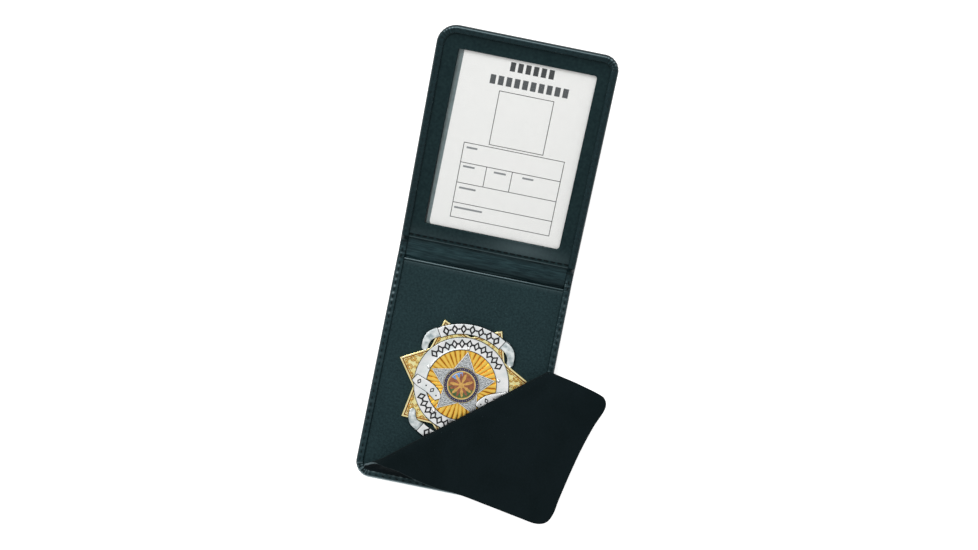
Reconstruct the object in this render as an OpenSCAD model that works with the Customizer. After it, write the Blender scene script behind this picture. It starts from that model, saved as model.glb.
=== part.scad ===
// Identity badge wallet: a folding leather case with a badge half, a spine and a card half,
// a pinned metal badge, and a soft flap whose corner is peeled back over the badge.
// X runs across the wallet, Y along it towards the card half, Z up from the underside.

/* [Wallet] */
// Width across the outer edges
wallet_w = 82.5; // [81:0.5:90]
// Length of the badge half, from its bottom edge to the mouth of its panel
badge_half_len = 103.8; // [102:0.1:115]
// Spine that shows between the panel and the frame
spine_band = 10.4; // [10:0.1:16]
// How far the panel and the frame each reach over their fold line
fold_reach = 2.6; // [2.2:0.1:2.8]
// Radius of the outer corners
corner_r = 7.3; // [5.5:0.1:10]
// Width of the turned edge that laps over the sides
rim_w = 3.4; // [3:0.1:4]
// Rounding of the turned edge
rim_round = 1.6; // [1.2:0.1:2]
// Bend of each fold line at rest
fold_rest = 10; // [0:1:20]

/* [Leather and boards] */
// Outer leather
cover_t = 1.2; // [1:0.1:1.6]
// Stiffener board
board_t = 0.7; // [0.5:0.1:1.2]
// Lining
lining_t = 0.5; // [0.4:0.1:0.8]
// Height of the pocket behind the panel and behind the frame
pocket_gap = 1.3; // [1.3:0.1:2]
// Leather of the badge panel and of the window frame
panel_t = 1.2; // [1:0.1:1.6]
// Leather that laps over the panel and the frame
lip_t = 1.1; // [1:0.1:1.5]
// Leather band that lines the spine
spine_lining_t = 1.2; // [0.8:0.1:1.5]
// Leather that laps over the spine's band
spine_lip_t = 1; // [0.8:0.1:1.2]
// Width of the filler strip that spaces the badge half's pocket
welt_w = 5; // [4:0.1:5.5]
// Depth of the hem behind the panel's mouth
hem_w = 8; // [5:0.1:10]
// Thickness of that hem
hem_t = 0.6; // [0.4:0.1:0.7]

/* [Window and card] */
// Width of the window
window_w = 63.5; // [60:0.1:65]
// Height of the window
window_h = 83.8; // [82:0.1:87]
// Offset of the window to the right of the middle
window_shift = 0.7; // [0:0.1:1]
// Border of the window frame beside the spine
frame_low = 8.1; // [7:0.1:9]
// Border of the window frame at the outer end
frame_high = 10.4; // [10:0.1:13]
// Radius of the window's corners
window_r = 2; // [1:0.1:4]
// How far the clear window reaches under the frame
window_lap = 1.8; // [1:0.1:1.9]
// Width of the card
card_w = 63.5; // [62:0.1:63.8]
// Height of the card
card_h = 88.9; // [87:0.1:90]
// Thickness of the card
card_t = 0.76; // [0.5:0.01:0.78]
// Radius of the card's corners
card_r = 2.6; // [1:0.1:3.5]
// Play between the card and the walls of its pocket
card_play = 0.45; // [0.2:0.05:0.8]
// Strip of the sleeve that shows at the card's left
card_strip = 2.1; // [1.5:0.1:2.3]
// Card hidden under the lower border
card_hidden = 0.9; // [0.5:0.1:1.5]
// Thickness of the clear window
window_t = 0.3; // [0.2:0.05:0.32]
// Thickness of the sleeve behind the card
sleeve_t = 0.15; // [0.1:0.01:0.16]

/* [Badge] */
// Height of the badge's centre above the wallet's bottom edge
badge_y = 50.7; // [48:0.1:54]
// Radius to the tips of the large star
star_r = 31.5; // [30:0.1:33]
// Radius to the valleys of the large star
star_valley_r = 22.6; // [22.4:0.1:23]
// Number of points of the large star
star_points = 7; // [5:1:9]
// Thickness of the large star
star_t = 1.05; // [0.9:0.05:1.2]
// Outer radius of the ring banner
ring_r = 22.3; // [21.5:0.1:22.3]
// Inner radius of the ring banner
ring_inner_r = 16.2; // [15.5:0.1:17]
// Thickness of the ring banner
ring_t = 1.3; // [1.3:0.05:1.5]
// Thickness of the sunburst disc inside the ring
disc_t = 0.6; // [0.4:0.05:0.7]
// Number of points of the inner star
inner_points = 5; // [5:1:7]
// Thickness of the inner star
inner_star_t = 0.7; // [0.5:0.05:0.7]
// Radius to the valleys of the inner star
inner_valley_r = 8.5; // [8:0.1:9]
// Radius of the beads at the inner star's tips
bead_r = 0.9; // [0.6:0.1:1.1]
// Radius of the ring round the enamelled centre
seal_r = 8.3; // [7.5:0.1:9]
// Radius of the enamel disc inside that ring
enamel_r = 6.6; // [6:0.1:7]
// Height of the ring round the enamel
seal_t = 0.8; // [0.5:0.1:1]
// Height by which the enamel's dome stands above its ring
enamel_dome = 0.4; // [0.2:0.1:0.5]
// Inner radius of the top and bottom ribbons
ribbon_r = 23.4; // [23:0.1:24]
// Width of the top and bottom ribbons
ribbon_w = 5; // [4:0.1:5.5]
// Thickness of the ribbons
ribbon_t = 1; // [0.8:0.1:1.2]
// Half of the arc that the top and bottom ribbons span
ribbon_arc = 45; // [35:1:50]
// Arc of each ribbon's folded tail
tail_arc = 13; // [8:1:15]
// Width of the two side ribbons
side_ribbon_w = 4.8; // [4:0.1:5.5]
// Thickness of the two side ribbons
side_ribbon_t = 0.6; // [0.4:0.1:0.8]
// Distance from the badge's centre to the pin's joint and to its catch
pin_reach = 15; // [12:0.5:18]
// Radius of the pin
pin_r = 0.45; // [0.35:0.05:0.5]

/* [Flap] */
// Gap from the turned edge to each end of the flap's seam
flap_side_gap = 0.95; // [0.5:0.05:2]
// Thickness of the flap's leather face
flap_leather_t = 0.5; // [0.4:0.1:0.6]
// Thickness of the flap's suede lining
flap_suede_t = 0.4; // [0.3:0.1:0.5]
// Height of the flap over the badge's enamel
flap_clear = 0.4; // [0.3:0.1:0.6]
// Run of the slope where the flap climbs from its seam
flap_slope_run = 6; // [3:0.5:8]
// Outer radius of the roll where the flap folds over
roll_r = 3; // [2.6:0.1:3.2]
// Angle of the roll from the bottom edge
fold_angle = 39; // [38:0.5:40]
// Distance from the flap's left end to where the roll starts
roll_start = 3.6; // [3:0.1:6]
// Length of the peeled part's left edge
peel_left = 85.2; // [80:0.1:88]
// Angle of that edge from the roll
peel_left_angle = 45.6; // [44:0.1:47]
// Length of the peeled part's right edge
peel_right = 28.2; // [22:0.1:30]
// Angle of that edge from the roll
peel_right_angle = 53.1; // [50:0.1:56]
// Angle by which the peeled part droops away from the roll
droop = 1.5; // [0.5:0.1:1.8]
// Radius of the flap's free corners
flap_corner_r = 6.5; // [4:0.1:8]

/* [Stitches] */
// Distance from one stitch to the next
stitch_pitch = 3.2; // [2.8:0.1:4.5]
// Length of a stitch
stitch_len = 2.2; // [1.5:0.1:2.6]
// Width of a stitch
stitch_w = 0.6; // [0.4:0.1:0.8]
// Height of a stitch above the leather
stitch_h = 0.2; // [0.1:0.05:0.25]
// Distance from the outer edge to the edge stitches
stitch_inset = 1.9; // [1.8:0.1:2.2]
// Distance from the frame's lower edge to its row of stitches
frame_stitch_inset = 1.7; // [1.2:0.1:3]

/* [Hidden] */
$fn = 48;

// Clearances
cut = 1;        // overrun of a cut past a face
seat = 0.05;    // between pieces that are laid in one another

// Levels, from the underside up
board_z = cover_t;
lining_z = board_z + board_t;
pocket_z = lining_z + lining_t;
panel_z = pocket_z + pocket_gap;
face_z = panel_z + panel_t;
rim_z = face_z + lip_t;

// Insets from the wallet's outline
lay = cover_t + seat;               // pieces that lie inside the turned edge
pocket_inset = lay + welt_w;        // the badge half's pocket
pocket_corner_r = 1;
stitch_end = 0.6;                   // from a row of stitches to a cover's end
middle_y = badge_half_len / 2;      // the part's origin

// Window and card, measured from the card half's outer end
window_x0 = window_shift - window_w / 2;
window_x1 = window_x0 + window_w;
end_welt_w = 3;         // least filler strip beyond the card's end
card_covered = card_h - window_h - card_hidden;     // card under the outer border
window_y0 = max(frame_high, lay + end_welt_w + card_play + card_covered);
window_y1 = window_y0 + window_h;
card_x0 = window_x0 + card_strip;
card_y1 = window_y1 + card_hidden;
pocket_x0 = window_x0 - window_lap - card_play;
pocket_x1 = max(card_x0 + card_w, window_x1 + window_lap) + card_play;
pocket_y0 = min(card_y1 - card_h, window_y0 - window_lap) - card_play;
card_z = pocket_z + sleeve_t + seat;
window_z = panel_z - window_t;

// Fold lines: two hinges along X, one at each side of the spine
hinge_lift = 0.6;       // height of the fold lines above the lining
cover_reach = 0.5;      // outer leather that reaches past its fold line
board_setback = 2;      // from a fold line back to the board
spine_setback = 3.6;    // from a fold line to the stiff part of the spine
hinge_z = pocket_z + hinge_lift;
lower_hinge_y = badge_half_len - fold_reach;
spine_len = spine_band + 2 * fold_reach;
badge_cover_len = lower_hinge_y + cover_reach;
card_half_len = window_y1 + frame_low;
card_cover_len = card_half_len - fold_reach + cover_reach;
card_hinge_len = card_half_len - fold_reach;
spine_rim_z = cover_t + spine_lining_t + spine_lip_t;

// Badge levels
star_z = face_z + seat;
badge_z = star_z + star_t;
inner_star_z = badge_z + disc_t;
ring_top_z = badge_z + ring_t;
seal_z = inner_star_z + inner_star_t;
badge_top_z = seal_z + seal_t + enamel_dome;
banner_chamfer = 0.3;
star_rim_w = 1.1;       // raised border of the large star
star_rim_t = 0.25;
inner_tip_gap = 0.3;    // from the inner star's tips to the ring

// Pin behind the badge: its joint and catch pass through two slots in the panel
pin_block_len = 4;
pin_block_w = 3;
pin_slot_gap = 0.4;
pin_floor = 0.2;        // from the lining up to the joint and the catch
pin_z = pocket_z + pocket_gap / 2;

// Flap
anchor_t = 0.7;         // strip by which the flap is sewn under the turned edge
flap_t = flap_leather_t + flap_suede_t;
seam_w = wallet_w - 2 * (rim_w + flap_side_gap);
seam_corner_r = corner_r - rim_w - flap_side_gap;    // follows the turned edge round its corner
flap_y0 = rim_w + 2 * seat;
flap_z = badge_top_z + flap_clear;
fold_x = roll_start - seam_w / 2;
roll_mid_r = roll_r - flap_t / 2;
roll_z = flap_z + roll_r;
roll_len = (seam_w - roll_start) / cos(fold_angle);
edge_shift = PI * roll_mid_r / tan(90 - fold_angle);
peel_corner_left = peel_left * [cos(peel_left_angle), -sin(peel_left_angle)];
peel_corner_right = [roll_len + edge_shift, 0]
    + peel_right * [cos(peel_right_angle), -sin(peel_right_angle)];
crease_out = PI * roll_mid_r / 2;   // the crease's axis, out from where the roll starts

// Where the joints' axes lie, in the part's own frame
flap_hinge_z = rim_z + 0.15 * lip_t;
echo(lower_hinge = [0, lower_hinge_y - middle_y, hinge_z]);
echo(upper_hinge = [0, lower_hinge_y - middle_y + spine_len * cos(fold_rest),
    hinge_z + spine_len * sin(fold_rest)]);
echo(flap_hinge = [0, flap_y0 - middle_y, flap_hinge_z]);
echo(crease = [fold_x - crease_out * sin(fold_angle),
    flap_y0 + crease_out * cos(fold_angle) - middle_y, roll_z],
    along = [cos(fold_angle), sin(fold_angle), 0]);
echo(rim_top = rim_z, flap_top = roll_z + roll_r,
    closed_face = 2 * hinge_z + spine_len - rim_z - stitch_h);

// The wallet's three stiff parts, each with Y = 0 at its own start
module on_badge_half() {
    translate([0, -middle_y, 0]) children();
}

module on_spine() {
    on_badge_half() translate([0, lower_hinge_y, hinge_z]) rotate([fold_rest, 0, 0])
        translate([0, 0, -hinge_z]) children();
}

module on_card_half() {
    on_spine() translate([0, spine_len, hinge_z]) rotate([fold_rest, 0, 0])
        translate([0, 0, -hinge_z]) children();
}

// The card half again, measured from its outer end back towards the spine
module from_outer_end() {
    on_card_half() translate([0, card_hinge_len, 0]) mirror([0, 1, 0]) children();
}

module on_badge() {
    on_badge_half() translate([0, badge_y, 0]) children();
}

// The flap's own frame: X along the roll, Y out past it, Z = 0 on the level of children
module on_roll() {
    on_badge_half() translate([fold_x, flap_y0, 0]) rotate([0, 0, fold_angle]) children();
}

// Plan of a layer: rounded at its outer end, inset from the wallet's edge, square at its far end
module plan(inset, r, len) {
    half = wallet_w / 2 - inset;
    translate([-half, inset + r]) square([2 * half, len - inset - r]);
    translate([r - half, inset]) square([2 * (half - r), len - inset]);
    for (side = [-1, 1]) translate([side * (half - r), inset + r]) circle(r);
}

module layer(z, t, inset, len) {
    translate([0, 0, z]) linear_extrude(t) plan(inset, corner_r - inset, len);
}

// Section of the turned edge, from the outer edge inwards
module rim_section(top, lip, r) {
    difference() {
        union() {
            translate([r, 0]) square([rim_w - r, top]);
            translate([0, r]) square([rim_w, top - 2 * r]);
            for (z = [r, top - r]) translate([r, z]) circle(r);
        }
        translate([cover_t, cover_t]) square([rim_w, top - lip - cover_t]);
    }
}

module side_rims(y0, y1, top, lip, r) {
    for (side = [0, 1]) mirror([side, 0, 0])
        translate([-wallet_w / 2, y1, 0]) rotate([90, 0, 0]) linear_extrude(y1 - y0)
            rim_section(top, lip, r);
}

// Outer leather of one half, turned over at three sides
module turned_cover(len) {
    side_rims(corner_r, len, rim_z, lip_t, rim_round);
    translate([corner_r - wallet_w / 2, 0, 0]) rotate([90, 0, 90])
        linear_extrude(wallet_w - 2 * corner_r) rim_section(rim_z, lip_t, rim_round);
    for (side = [0, 1]) mirror([side, 0, 0])
        translate([corner_r - wallet_w / 2, corner_r, 0]) rotate([0, 0, 180])
            rotate_extrude(angle = 90) translate([corner_r, 0]) mirror([1, 0])
                rim_section(rim_z, lip_t, rim_round);
    layer(0, cover_t, rim_round, len);
}

// One stitch lies along X; a row starts at X = 0
module stitch() {
    rotate([90, 0, 90]) linear_extrude(stitch_len)
        polygon([[-stitch_w / 2, 0], [stitch_w / 2, 0], [stitch_w / 4, stitch_h],
            [-stitch_w / 4, stitch_h]]);
}

module stitch_row(len) {
    count = floor(len / stitch_pitch);
    first = (len - count * stitch_pitch + stitch_pitch - stitch_len) / 2;
    for (i = [0 : count - 1]) translate([first + i * stitch_pitch, 0, 0]) stitch();
}

// Stitches along the turned edge of one half
module edge_stitches(len) {
    arc_r = corner_r - stitch_inset;
    translate([0, 0, rim_z]) {
        for (side = [-1, 1])
            translate([side * (wallet_w / 2 - stitch_inset), corner_r, 0])
                rotate([0, 0, 90]) stitch_row(len - corner_r - stitch_end);
        translate([corner_r - wallet_w / 2, stitch_inset, 0]) stitch_row(wallet_w - 2 * corner_r);
        for (side = [0, 1], turn = [22, 67]) mirror([side, 0, 0])
            translate([corner_r - wallet_w / 2, corner_r, 0]) rotate([0, 0, 180 + turn])
                translate([arc_r, -stitch_len / 2, 0]) rotate([0, 0, 90]) stitch();
    }
}

// Regular star, first tip at the given angle
module star(points, tip_r, valley_r, first) {
    polygon([for (i = [0 : 2 * points - 1])
        (i % 2 == 0 ? tip_r : valley_r)
            * [cos(first + i * 180 / points), sin(first + i * 180 / points)]]);
}

// Raised metal band: flat top with its edges chamfered
module banner_section(w, t) {
    polygon([[0, 0], [w, 0], [w, t - banner_chamfer], [w - banner_chamfer, t],
        [banner_chamfer, t], [0, t - banner_chamfer]]);
}

module banner(z, r, w, t, from, to) {
    translate([0, 0, z]) rotate([0, 0, from]) rotate_extrude(angle = to - from)
        translate([r, 0]) banner_section(w, t);
}

module ribbon(middle) {
    tail_drop = ribbon_w / 6;
    banner(badge_z, ribbon_r, ribbon_w, ribbon_t, middle - ribbon_arc, middle + ribbon_arc);
    for (side = [-1, 1]) {
        start = middle + side * ribbon_arc;
        banner(badge_z, ribbon_r - tail_drop, ribbon_w, ribbon_t - banner_chamfer,
            min(start - side, start + side * tail_arc), max(start - side, start + side * tail_arc));
    }
}

module side_ribbon() {
    outer_shares = [0.97, 0.1];
    inner_shares = [0.4, 0.31];
    outer = ring_r * [outer_shares[0], -outer_shares[1]];
    inner = ring_r * [inner_shares[0], -inner_shares[1]];
    along = outer - inner;
    translate([inner[0], inner[1], ring_top_z]) rotate([0, 0, atan2(along[1], along[0])])
        linear_extrude(side_ribbon_t) {
            translate([0, -side_ribbon_w / 2]) square([norm(along), side_ribbon_w]);
            translate([norm(along), 0]) circle(side_ribbon_w / 2);
        }
}

// Points of a corner rounded with radius r, between the corners before and after it
function rounded(before, corner, after, r) =
    let (a = (before - corner) / norm(before - corner), b = (after - corner) / norm(after - corner),
        half = acos(a * b) / 2, middle = corner + (a + b) / norm(a + b) * r / sin(half),
        from = corner + a * r / tan(half) - middle, to = corner + b * r / tan(half) - middle,
        start = atan2(from[1], from[0]), sweep = (atan2(to[1], to[0]) - start + 540) % 360 - 180)
    [for (i = [0 : 8]) middle + r * [cos(start + sweep * i / 8), sin(start + sweep * i / 8)]];

// Side view of the flap's lower part: it climbs from its seam and lies flat over the badge
module flap_section(low, t) {
    far_y = badge_half_len;
    slope_y = flap_y0 + flap_slope_run;
    polygon([[flap_y0, star_z + low], [slope_y, flap_z + low], [far_y, flap_z + low],
        [far_y, flap_z + low + t], [slope_y, flap_z + low + t], [flap_y0, star_z + low + t]]);
}

module flap_lower(low, t) {
    start = [fold_x, flap_y0];
    corner = [seam_w / 2, flap_y0];
    end = [seam_w / 2, flap_y0 + roll_len * sin(fold_angle)];
    on_badge_half() intersection() {
        translate([-seam_w / 2, 0, 0]) rotate([90, 0, 90]) linear_extrude(seam_w)
            flap_section(low, t);
        linear_extrude(roll_z) polygon(concat([start], rounded(start, corner, end, seam_corner_r),
            [end]));
    }
}

module flap_upper(low, t) {
    start = [0, -seat];
    end = [roll_len + edge_shift, -seat];
    on_roll() translate([0, 0, roll_z + roll_r]) rotate([droop, 0, 0])
        translate([0, 0, low]) linear_extrude(t)
            polygon(concat([start, end],
                rounded(end, peel_corner_right, peel_corner_left, flap_corner_r),
                rounded(peel_corner_right, peel_corner_left, start, flap_corner_r)));
}

// Bent leather across a fold line, between the ends of two stiff parts
module fold_strip() {
    near = cover_reach + seat;
    far = spine_setback - seat;
    bent = [for (z = [0, pocket_z]) let (x = far, y = z - hinge_z)
        [x * cos(fold_rest) - y * sin(fold_rest), x * sin(fold_rest) + y * cos(fold_rest) + hinge_z]];
    translate([-wallet_w / 2, 0, 0]) rotate([90, 0, 90]) linear_extrude(wallet_w)
        polygon([[near, 0], [near, pocket_z], bent[1], bent[0]]);
}

module pin_carrier(x) {
    height = star_z - pocket_z - pin_floor;
    difference() {
        translate([x - pin_block_len / 2, -pin_block_w / 2, pocket_z + pin_floor])
            cube([pin_block_len, pin_block_w, height]);
        translate([x - pin_block_len / 2 - cut, 0, pin_z]) rotate([0, 90, 0])
            cylinder(h = pin_block_len + 2 * cut, r = pin_r + seat);
    }
}

module lower_cover() {
    color("#20292c") on_badge_half() difference() {
        turned_cover(badge_cover_len);
        translate([-seam_w / 2 - seat, cover_t, face_z])
            cube([seam_w + 2 * seat, rim_w, anchor_t]);
    }
}

module lower_board() {
    color("#8d7a5c") on_badge_half() layer(board_z, board_t, lay, lower_hinge_y - board_setback);
}

module lower_lining() {
    color("#1b2224") on_badge_half() layer(lining_z, lining_t, lay, badge_cover_len);
}

module lower_welt() {
    color("#2b3335") on_badge_half() difference() {
        layer(pocket_z, pocket_gap, lay, badge_cover_len);
        translate([0, 0, pocket_z - cut]) linear_extrude(pocket_gap + 2 * cut)
            plan(pocket_inset, pocket_corner_r, badge_cover_len + cut);
    }
}

module badge_panel() {
    slot = [pin_block_len + 2 * pin_slot_gap, pin_block_w + 2 * pin_slot_gap];
    color("#263438") on_badge_half() difference() {
        layer(panel_z, panel_t, lay, badge_half_len);
        for (side = [-1, 1])
            translate([side * pin_reach - slot[0] / 2, badge_y - slot[1] / 2, panel_z - cut])
                cube([slot[0], slot[1], panel_t + 2 * cut]);
    }
}

module panel_hem() {
    half = wallet_w / 2 - pocket_inset - seat;
    color("#2b3a3e") on_badge_half() translate([-half, badge_half_len - hem_w, panel_z - hem_t])
        cube([2 * half, hem_w, hem_t]);
}

module lower_edge_stitches() {
    color("#0c0f10") on_badge_half() edge_stitches(badge_cover_len);
}

module flap_anchor() {
    color("#15191a") on_badge_half() translate([-seam_w / 2, cover_t + seat, face_z])
        cube([seam_w, rim_w - cover_t - seat, anchor_t - seat]);
}

module star_plate() {
    color("#e2b64a") on_badge() {
        translate([0, 0, star_z]) linear_extrude(star_t)
            star(star_points, star_r, star_valley_r, -90);
        translate([0, 0, badge_z]) linear_extrude(star_rim_t) difference() {
            star(star_points, star_r, star_valley_r, -90);
            star(star_points, star_r - 2 * star_rim_w, star_valley_r - star_rim_w, -90);
            circle(ribbon_r + ribbon_w + seat);
        }
    }
}

module sunburst_disc() {
    color("#f0bf4c") on_badge() translate([0, 0, badge_z])
        cylinder(h = disc_t, r = ring_inner_r - seat);
}

module ring_banner() {
    color("#dfe3e6") on_badge() translate([0, 0, badge_z]) rotate_extrude()
        translate([ring_inner_r, 0]) banner_section(ring_r - ring_inner_r, ring_t);
}

module inner_star() {
    color("#a9aeb2") on_badge() translate([0, 0, inner_star_z]) linear_extrude(inner_star_t)
        star(inner_points, ring_inner_r - inner_tip_gap, inner_valley_r, 90);
}

module star_beads() {
    color("#c9ced2") on_badge()
        for (i = [0 : inner_points - 1]) rotate([0, 0, 90 + i * 360 / inner_points])
            translate([ring_inner_r + bead_r + banner_chamfer, 0, ring_top_z]) rotate_extrude()
                intersection() {
                    circle(bead_r);
                    square(bead_r);
                }
}

module seal_ring() {
    color("#2a2350") on_badge() translate([0, 0, seal_z]) rotate_extrude()
        translate([enamel_r + seat, 0]) banner_section(seal_r - enamel_r - seat, seal_t);
}

module enamel_disc() {
    steps = 5;
    color("#c98a3a") on_badge() translate([0, 0, seal_z]) rotate_extrude()
        polygon(concat([[0, 0], [enamel_r, 0]], [for (i = [0 : steps])
            [enamel_r * cos(i * 90 / steps), seal_t + enamel_dome * sin(i * 90 / steps)]]));
}

module top_ribbon() {
    color("#e6eaec") on_badge() ribbon(90);
}

module bottom_ribbon() {
    color("#e6eaec") on_badge() ribbon(270);
}

module left_side_ribbon() {
    color("#e6eaec") on_badge() mirror([1, 0, 0]) side_ribbon();
}

module right_side_ribbon() {
    color("#e6eaec") on_badge() side_ribbon();
}

module pin_joint() {
    color("#b9bdc0") on_badge() pin_carrier(-pin_reach);
}

module pin_stem() {
    color("#c9cdd0") on_badge() translate([-pin_reach - pin_block_len / 2, 0, pin_z])
        rotate([0, 90, 0]) cylinder(h = 2 * pin_reach + pin_block_len, r = pin_r);
}

module safety_catch() {
    color("#b9bdc0") on_badge() pin_carrier(pin_reach);
}

module spine_cover() {
    y1 = spine_len - spine_setback;
    half = wallet_w / 2 - rim_w;
    color("#20292c") on_spine() {
        side_rims(spine_setback, y1, spine_rim_z, spine_lip_t, cover_t);
        translate([-half, spine_setback, 0]) cube([2 * half, y1 - spine_setback, cover_t]);
    }
}

module spine_lining() {
    half = wallet_w / 2 - lay;
    color("#141b1d") on_spine() translate([-half, spine_setback, cover_t])
        cube([2 * half, spine_len - 2 * spine_setback, spine_lining_t]);
}

module spine_stitches() {
    color("#0c0f10") on_spine() for (side = [-1, 1])
        translate([side * (wallet_w / 2 - stitch_inset), spine_setback, spine_rim_z])
            rotate([0, 0, 90]) stitch_row(spine_len - 2 * spine_setback);
}

module lower_fold() {
    color("#1a2224") on_badge_half() translate([0, lower_hinge_y, 0]) fold_strip();
}

module upper_fold() {
    color("#1a2224") on_card_half() mirror([0, 1, 0]) fold_strip();
}

module upper_cover() {
    color("#20292c") from_outer_end() turned_cover(card_cover_len);
}

module upper_board() {
    color("#8d7a5c") from_outer_end() layer(board_z, board_t, lay, card_hinge_len - board_setback);
}

module card_backing() {
    color("#1b2224") from_outer_end() layer(lining_z, lining_t, lay, card_cover_len);
}

module upper_welt() {
    color("#2b3335") from_outer_end() difference() {
        layer(pocket_z, pocket_gap, lay, card_cover_len);
        translate([pocket_x0, pocket_y0, pocket_z - cut])
            cube([pocket_x1 - pocket_x0, card_cover_len, pocket_gap + 2 * cut]);
    }
}

module card_sleeve() {
    y0 = card_y1 - card_h;
    color("#6d8084") from_outer_end() translate([card_x0 - card_strip - seat, y0, pocket_z])
        cube([card_w + card_strip + seat, card_h, sleeve_t]);
}

module id_card() {
    color("#e8e9e9") from_outer_end() translate([card_x0, card_y1 - card_h, card_z])
        linear_extrude(card_t) {
            translate([0, card_r]) square([card_w, card_h - 2 * card_r]);
            translate([card_r, 0]) square([card_w - 2 * card_r, card_h]);
            for (x = [card_r, card_w - card_r], y = [card_r, card_h - card_r])
                translate([x, y]) circle(card_r);
        }
}

module clear_window() {
    color("#c9d6d8", 0.35) from_outer_end()
        translate([window_x0 - window_lap, window_y0 - window_lap, window_z])
            cube([window_w + 2 * window_lap, window_h + 2 * window_lap, window_t]);
}

module window_frame() {
    r = window_r;
    color("#232f33") from_outer_end() translate([0, 0, panel_z]) linear_extrude(panel_t)
        difference() {
            plan(lay, corner_r - lay, card_half_len);
            translate([window_x0, window_y0]) {
                translate([0, r]) square([window_w, window_h - 2 * r]);
                translate([r, 0]) square([window_w - 2 * r, window_h]);
                for (x = [r, window_w - r], y = [r, window_h - r]) translate([x, y]) circle(r);
            }
        }
}

module frame_stitches() {
    color("#0c0f10") from_outer_end()
        translate([rim_w - wallet_w / 2, card_half_len - frame_stitch_inset, face_z])
            stitch_row(wallet_w - 2 * rim_w);
}

module upper_edge_stitches() {
    color("#0c0f10") from_outer_end() edge_stitches(card_cover_len);
}

module flap_lower_suede() {
    color("#121a1c") flap_lower(0, flap_suede_t);
}

module flap_lower_leather() {
    color("#1d2629") flap_lower(flap_suede_t, flap_leather_t);
}

module flap_roll() {
    color("#1d2629") on_roll() translate([seat, 0, roll_z]) rotate([90, 0, 90])
        linear_extrude(roll_len) intersection() {
            difference() {
                circle(roll_r);
                circle(roll_r - flap_t);
            }
            translate([0, -roll_r]) square([roll_r, 2 * roll_r]);
        }
}

module flap_upper_suede() {
    color("#121a1c") flap_upper(-flap_suede_t, flap_suede_t);
}

module flap_upper_leather() {
    color("#1d2629") flap_upper(-flap_t, flap_leather_t);
}

lower_cover();
lower_board();
lower_lining();
lower_welt();
badge_panel();
panel_hem();
lower_edge_stitches();
flap_anchor();
star_plate();
sunburst_disc();
ring_banner();
inner_star();
star_beads();
seal_ring();
enamel_disc();
top_ribbon();
bottom_ribbon();
left_side_ribbon();
right_side_ribbon();
pin_joint();
pin_stem();
safety_catch();
spine_cover();
spine_lining();
spine_stitches();
lower_fold();
upper_fold();
upper_cover();
upper_board();
card_backing();
upper_welt();
card_sleeve();
id_card();
clear_window();
window_frame();
frame_stitches();
upper_edge_stitches();
flap_lower_leather();
flap_lower_suede();
flap_roll();
flap_upper_leather();
flap_upper_suede();
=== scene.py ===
import math

import bmesh
import bpy
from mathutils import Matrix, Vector, noise


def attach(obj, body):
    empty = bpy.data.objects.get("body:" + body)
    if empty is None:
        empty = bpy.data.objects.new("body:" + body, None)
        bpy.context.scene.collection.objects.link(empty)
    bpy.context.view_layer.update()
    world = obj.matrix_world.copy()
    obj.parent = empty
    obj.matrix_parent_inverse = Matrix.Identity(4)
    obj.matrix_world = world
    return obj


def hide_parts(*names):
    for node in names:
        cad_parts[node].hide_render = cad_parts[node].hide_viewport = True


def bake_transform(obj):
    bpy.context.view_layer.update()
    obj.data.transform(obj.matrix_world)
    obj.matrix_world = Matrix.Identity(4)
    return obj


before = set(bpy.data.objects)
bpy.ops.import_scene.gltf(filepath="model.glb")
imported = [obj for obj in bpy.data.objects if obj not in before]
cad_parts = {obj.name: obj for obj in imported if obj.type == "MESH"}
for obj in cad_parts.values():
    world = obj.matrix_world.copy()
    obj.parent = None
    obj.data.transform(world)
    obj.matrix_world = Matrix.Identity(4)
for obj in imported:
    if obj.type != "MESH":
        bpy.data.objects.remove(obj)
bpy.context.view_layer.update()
mm = 0.001
print("frame loaded")

# Sizes of the case in millimetres, laid out flat: x from the middle, y from the bottom edge
wallet = {
    "halfWidth": 41.25,
    "cornerRadius": 7.3,
    "badgeHalf": 103.8,  # bottom edge to the mouth of the panel
    "cardHalf": 102.3,  # outer end to the frame's lower edge
    "hinge": 101.2,  # bottom edge to the first fold line
    "cardHinge": 99.7,  # outer end to the second fold line
    "spine": 15.6,  # between the two fold lines
    "hingeHeight": 3.0,
    "bend": 10.0,  # of each fold at rest, in degrees
    "foldFrom": 1.2,  # the leather bends between these distances past a fold line
    "foldTo": 4.2,
    "originY": 51.9,
}
flatLength = wallet["hinge"] + wallet["spine"] + wallet["cardHinge"]
badgeReach = wallet["hinge"] + wallet["spine"] / 2  # from either outer end to the spine's middle
cardReach = wallet["cardHinge"] + wallet["spine"] / 2


def smooth(t):
    t = min(1.0, max(0.0, t))
    return t * t * (3 - 2 * t)


def between(a, b, t):
    return a + (b - a) * t


def bell(where, middle, width):
    return math.exp(-(((where - middle) / width) ** 2))


# Marks across a line, each as its strength, where it lies and how wide it is
def marks(where, rows):
    return sum(strength * bell(where, middle, width) for strength, middle, width in rows)


# How far a rounded corner draws a side in, at a distance from the end that it rounds
def drawnIn(radius, fromEnd):
    deep = max(0.0, radius - fromEnd)
    return radius - math.sqrt(max(0.0, radius**2 - deep**2))


def steps(start, end, step):
    count = max(1, round(abs(end - start) / step))
    return [between(start, end, i / count) for i in range(count + 1)]


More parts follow.
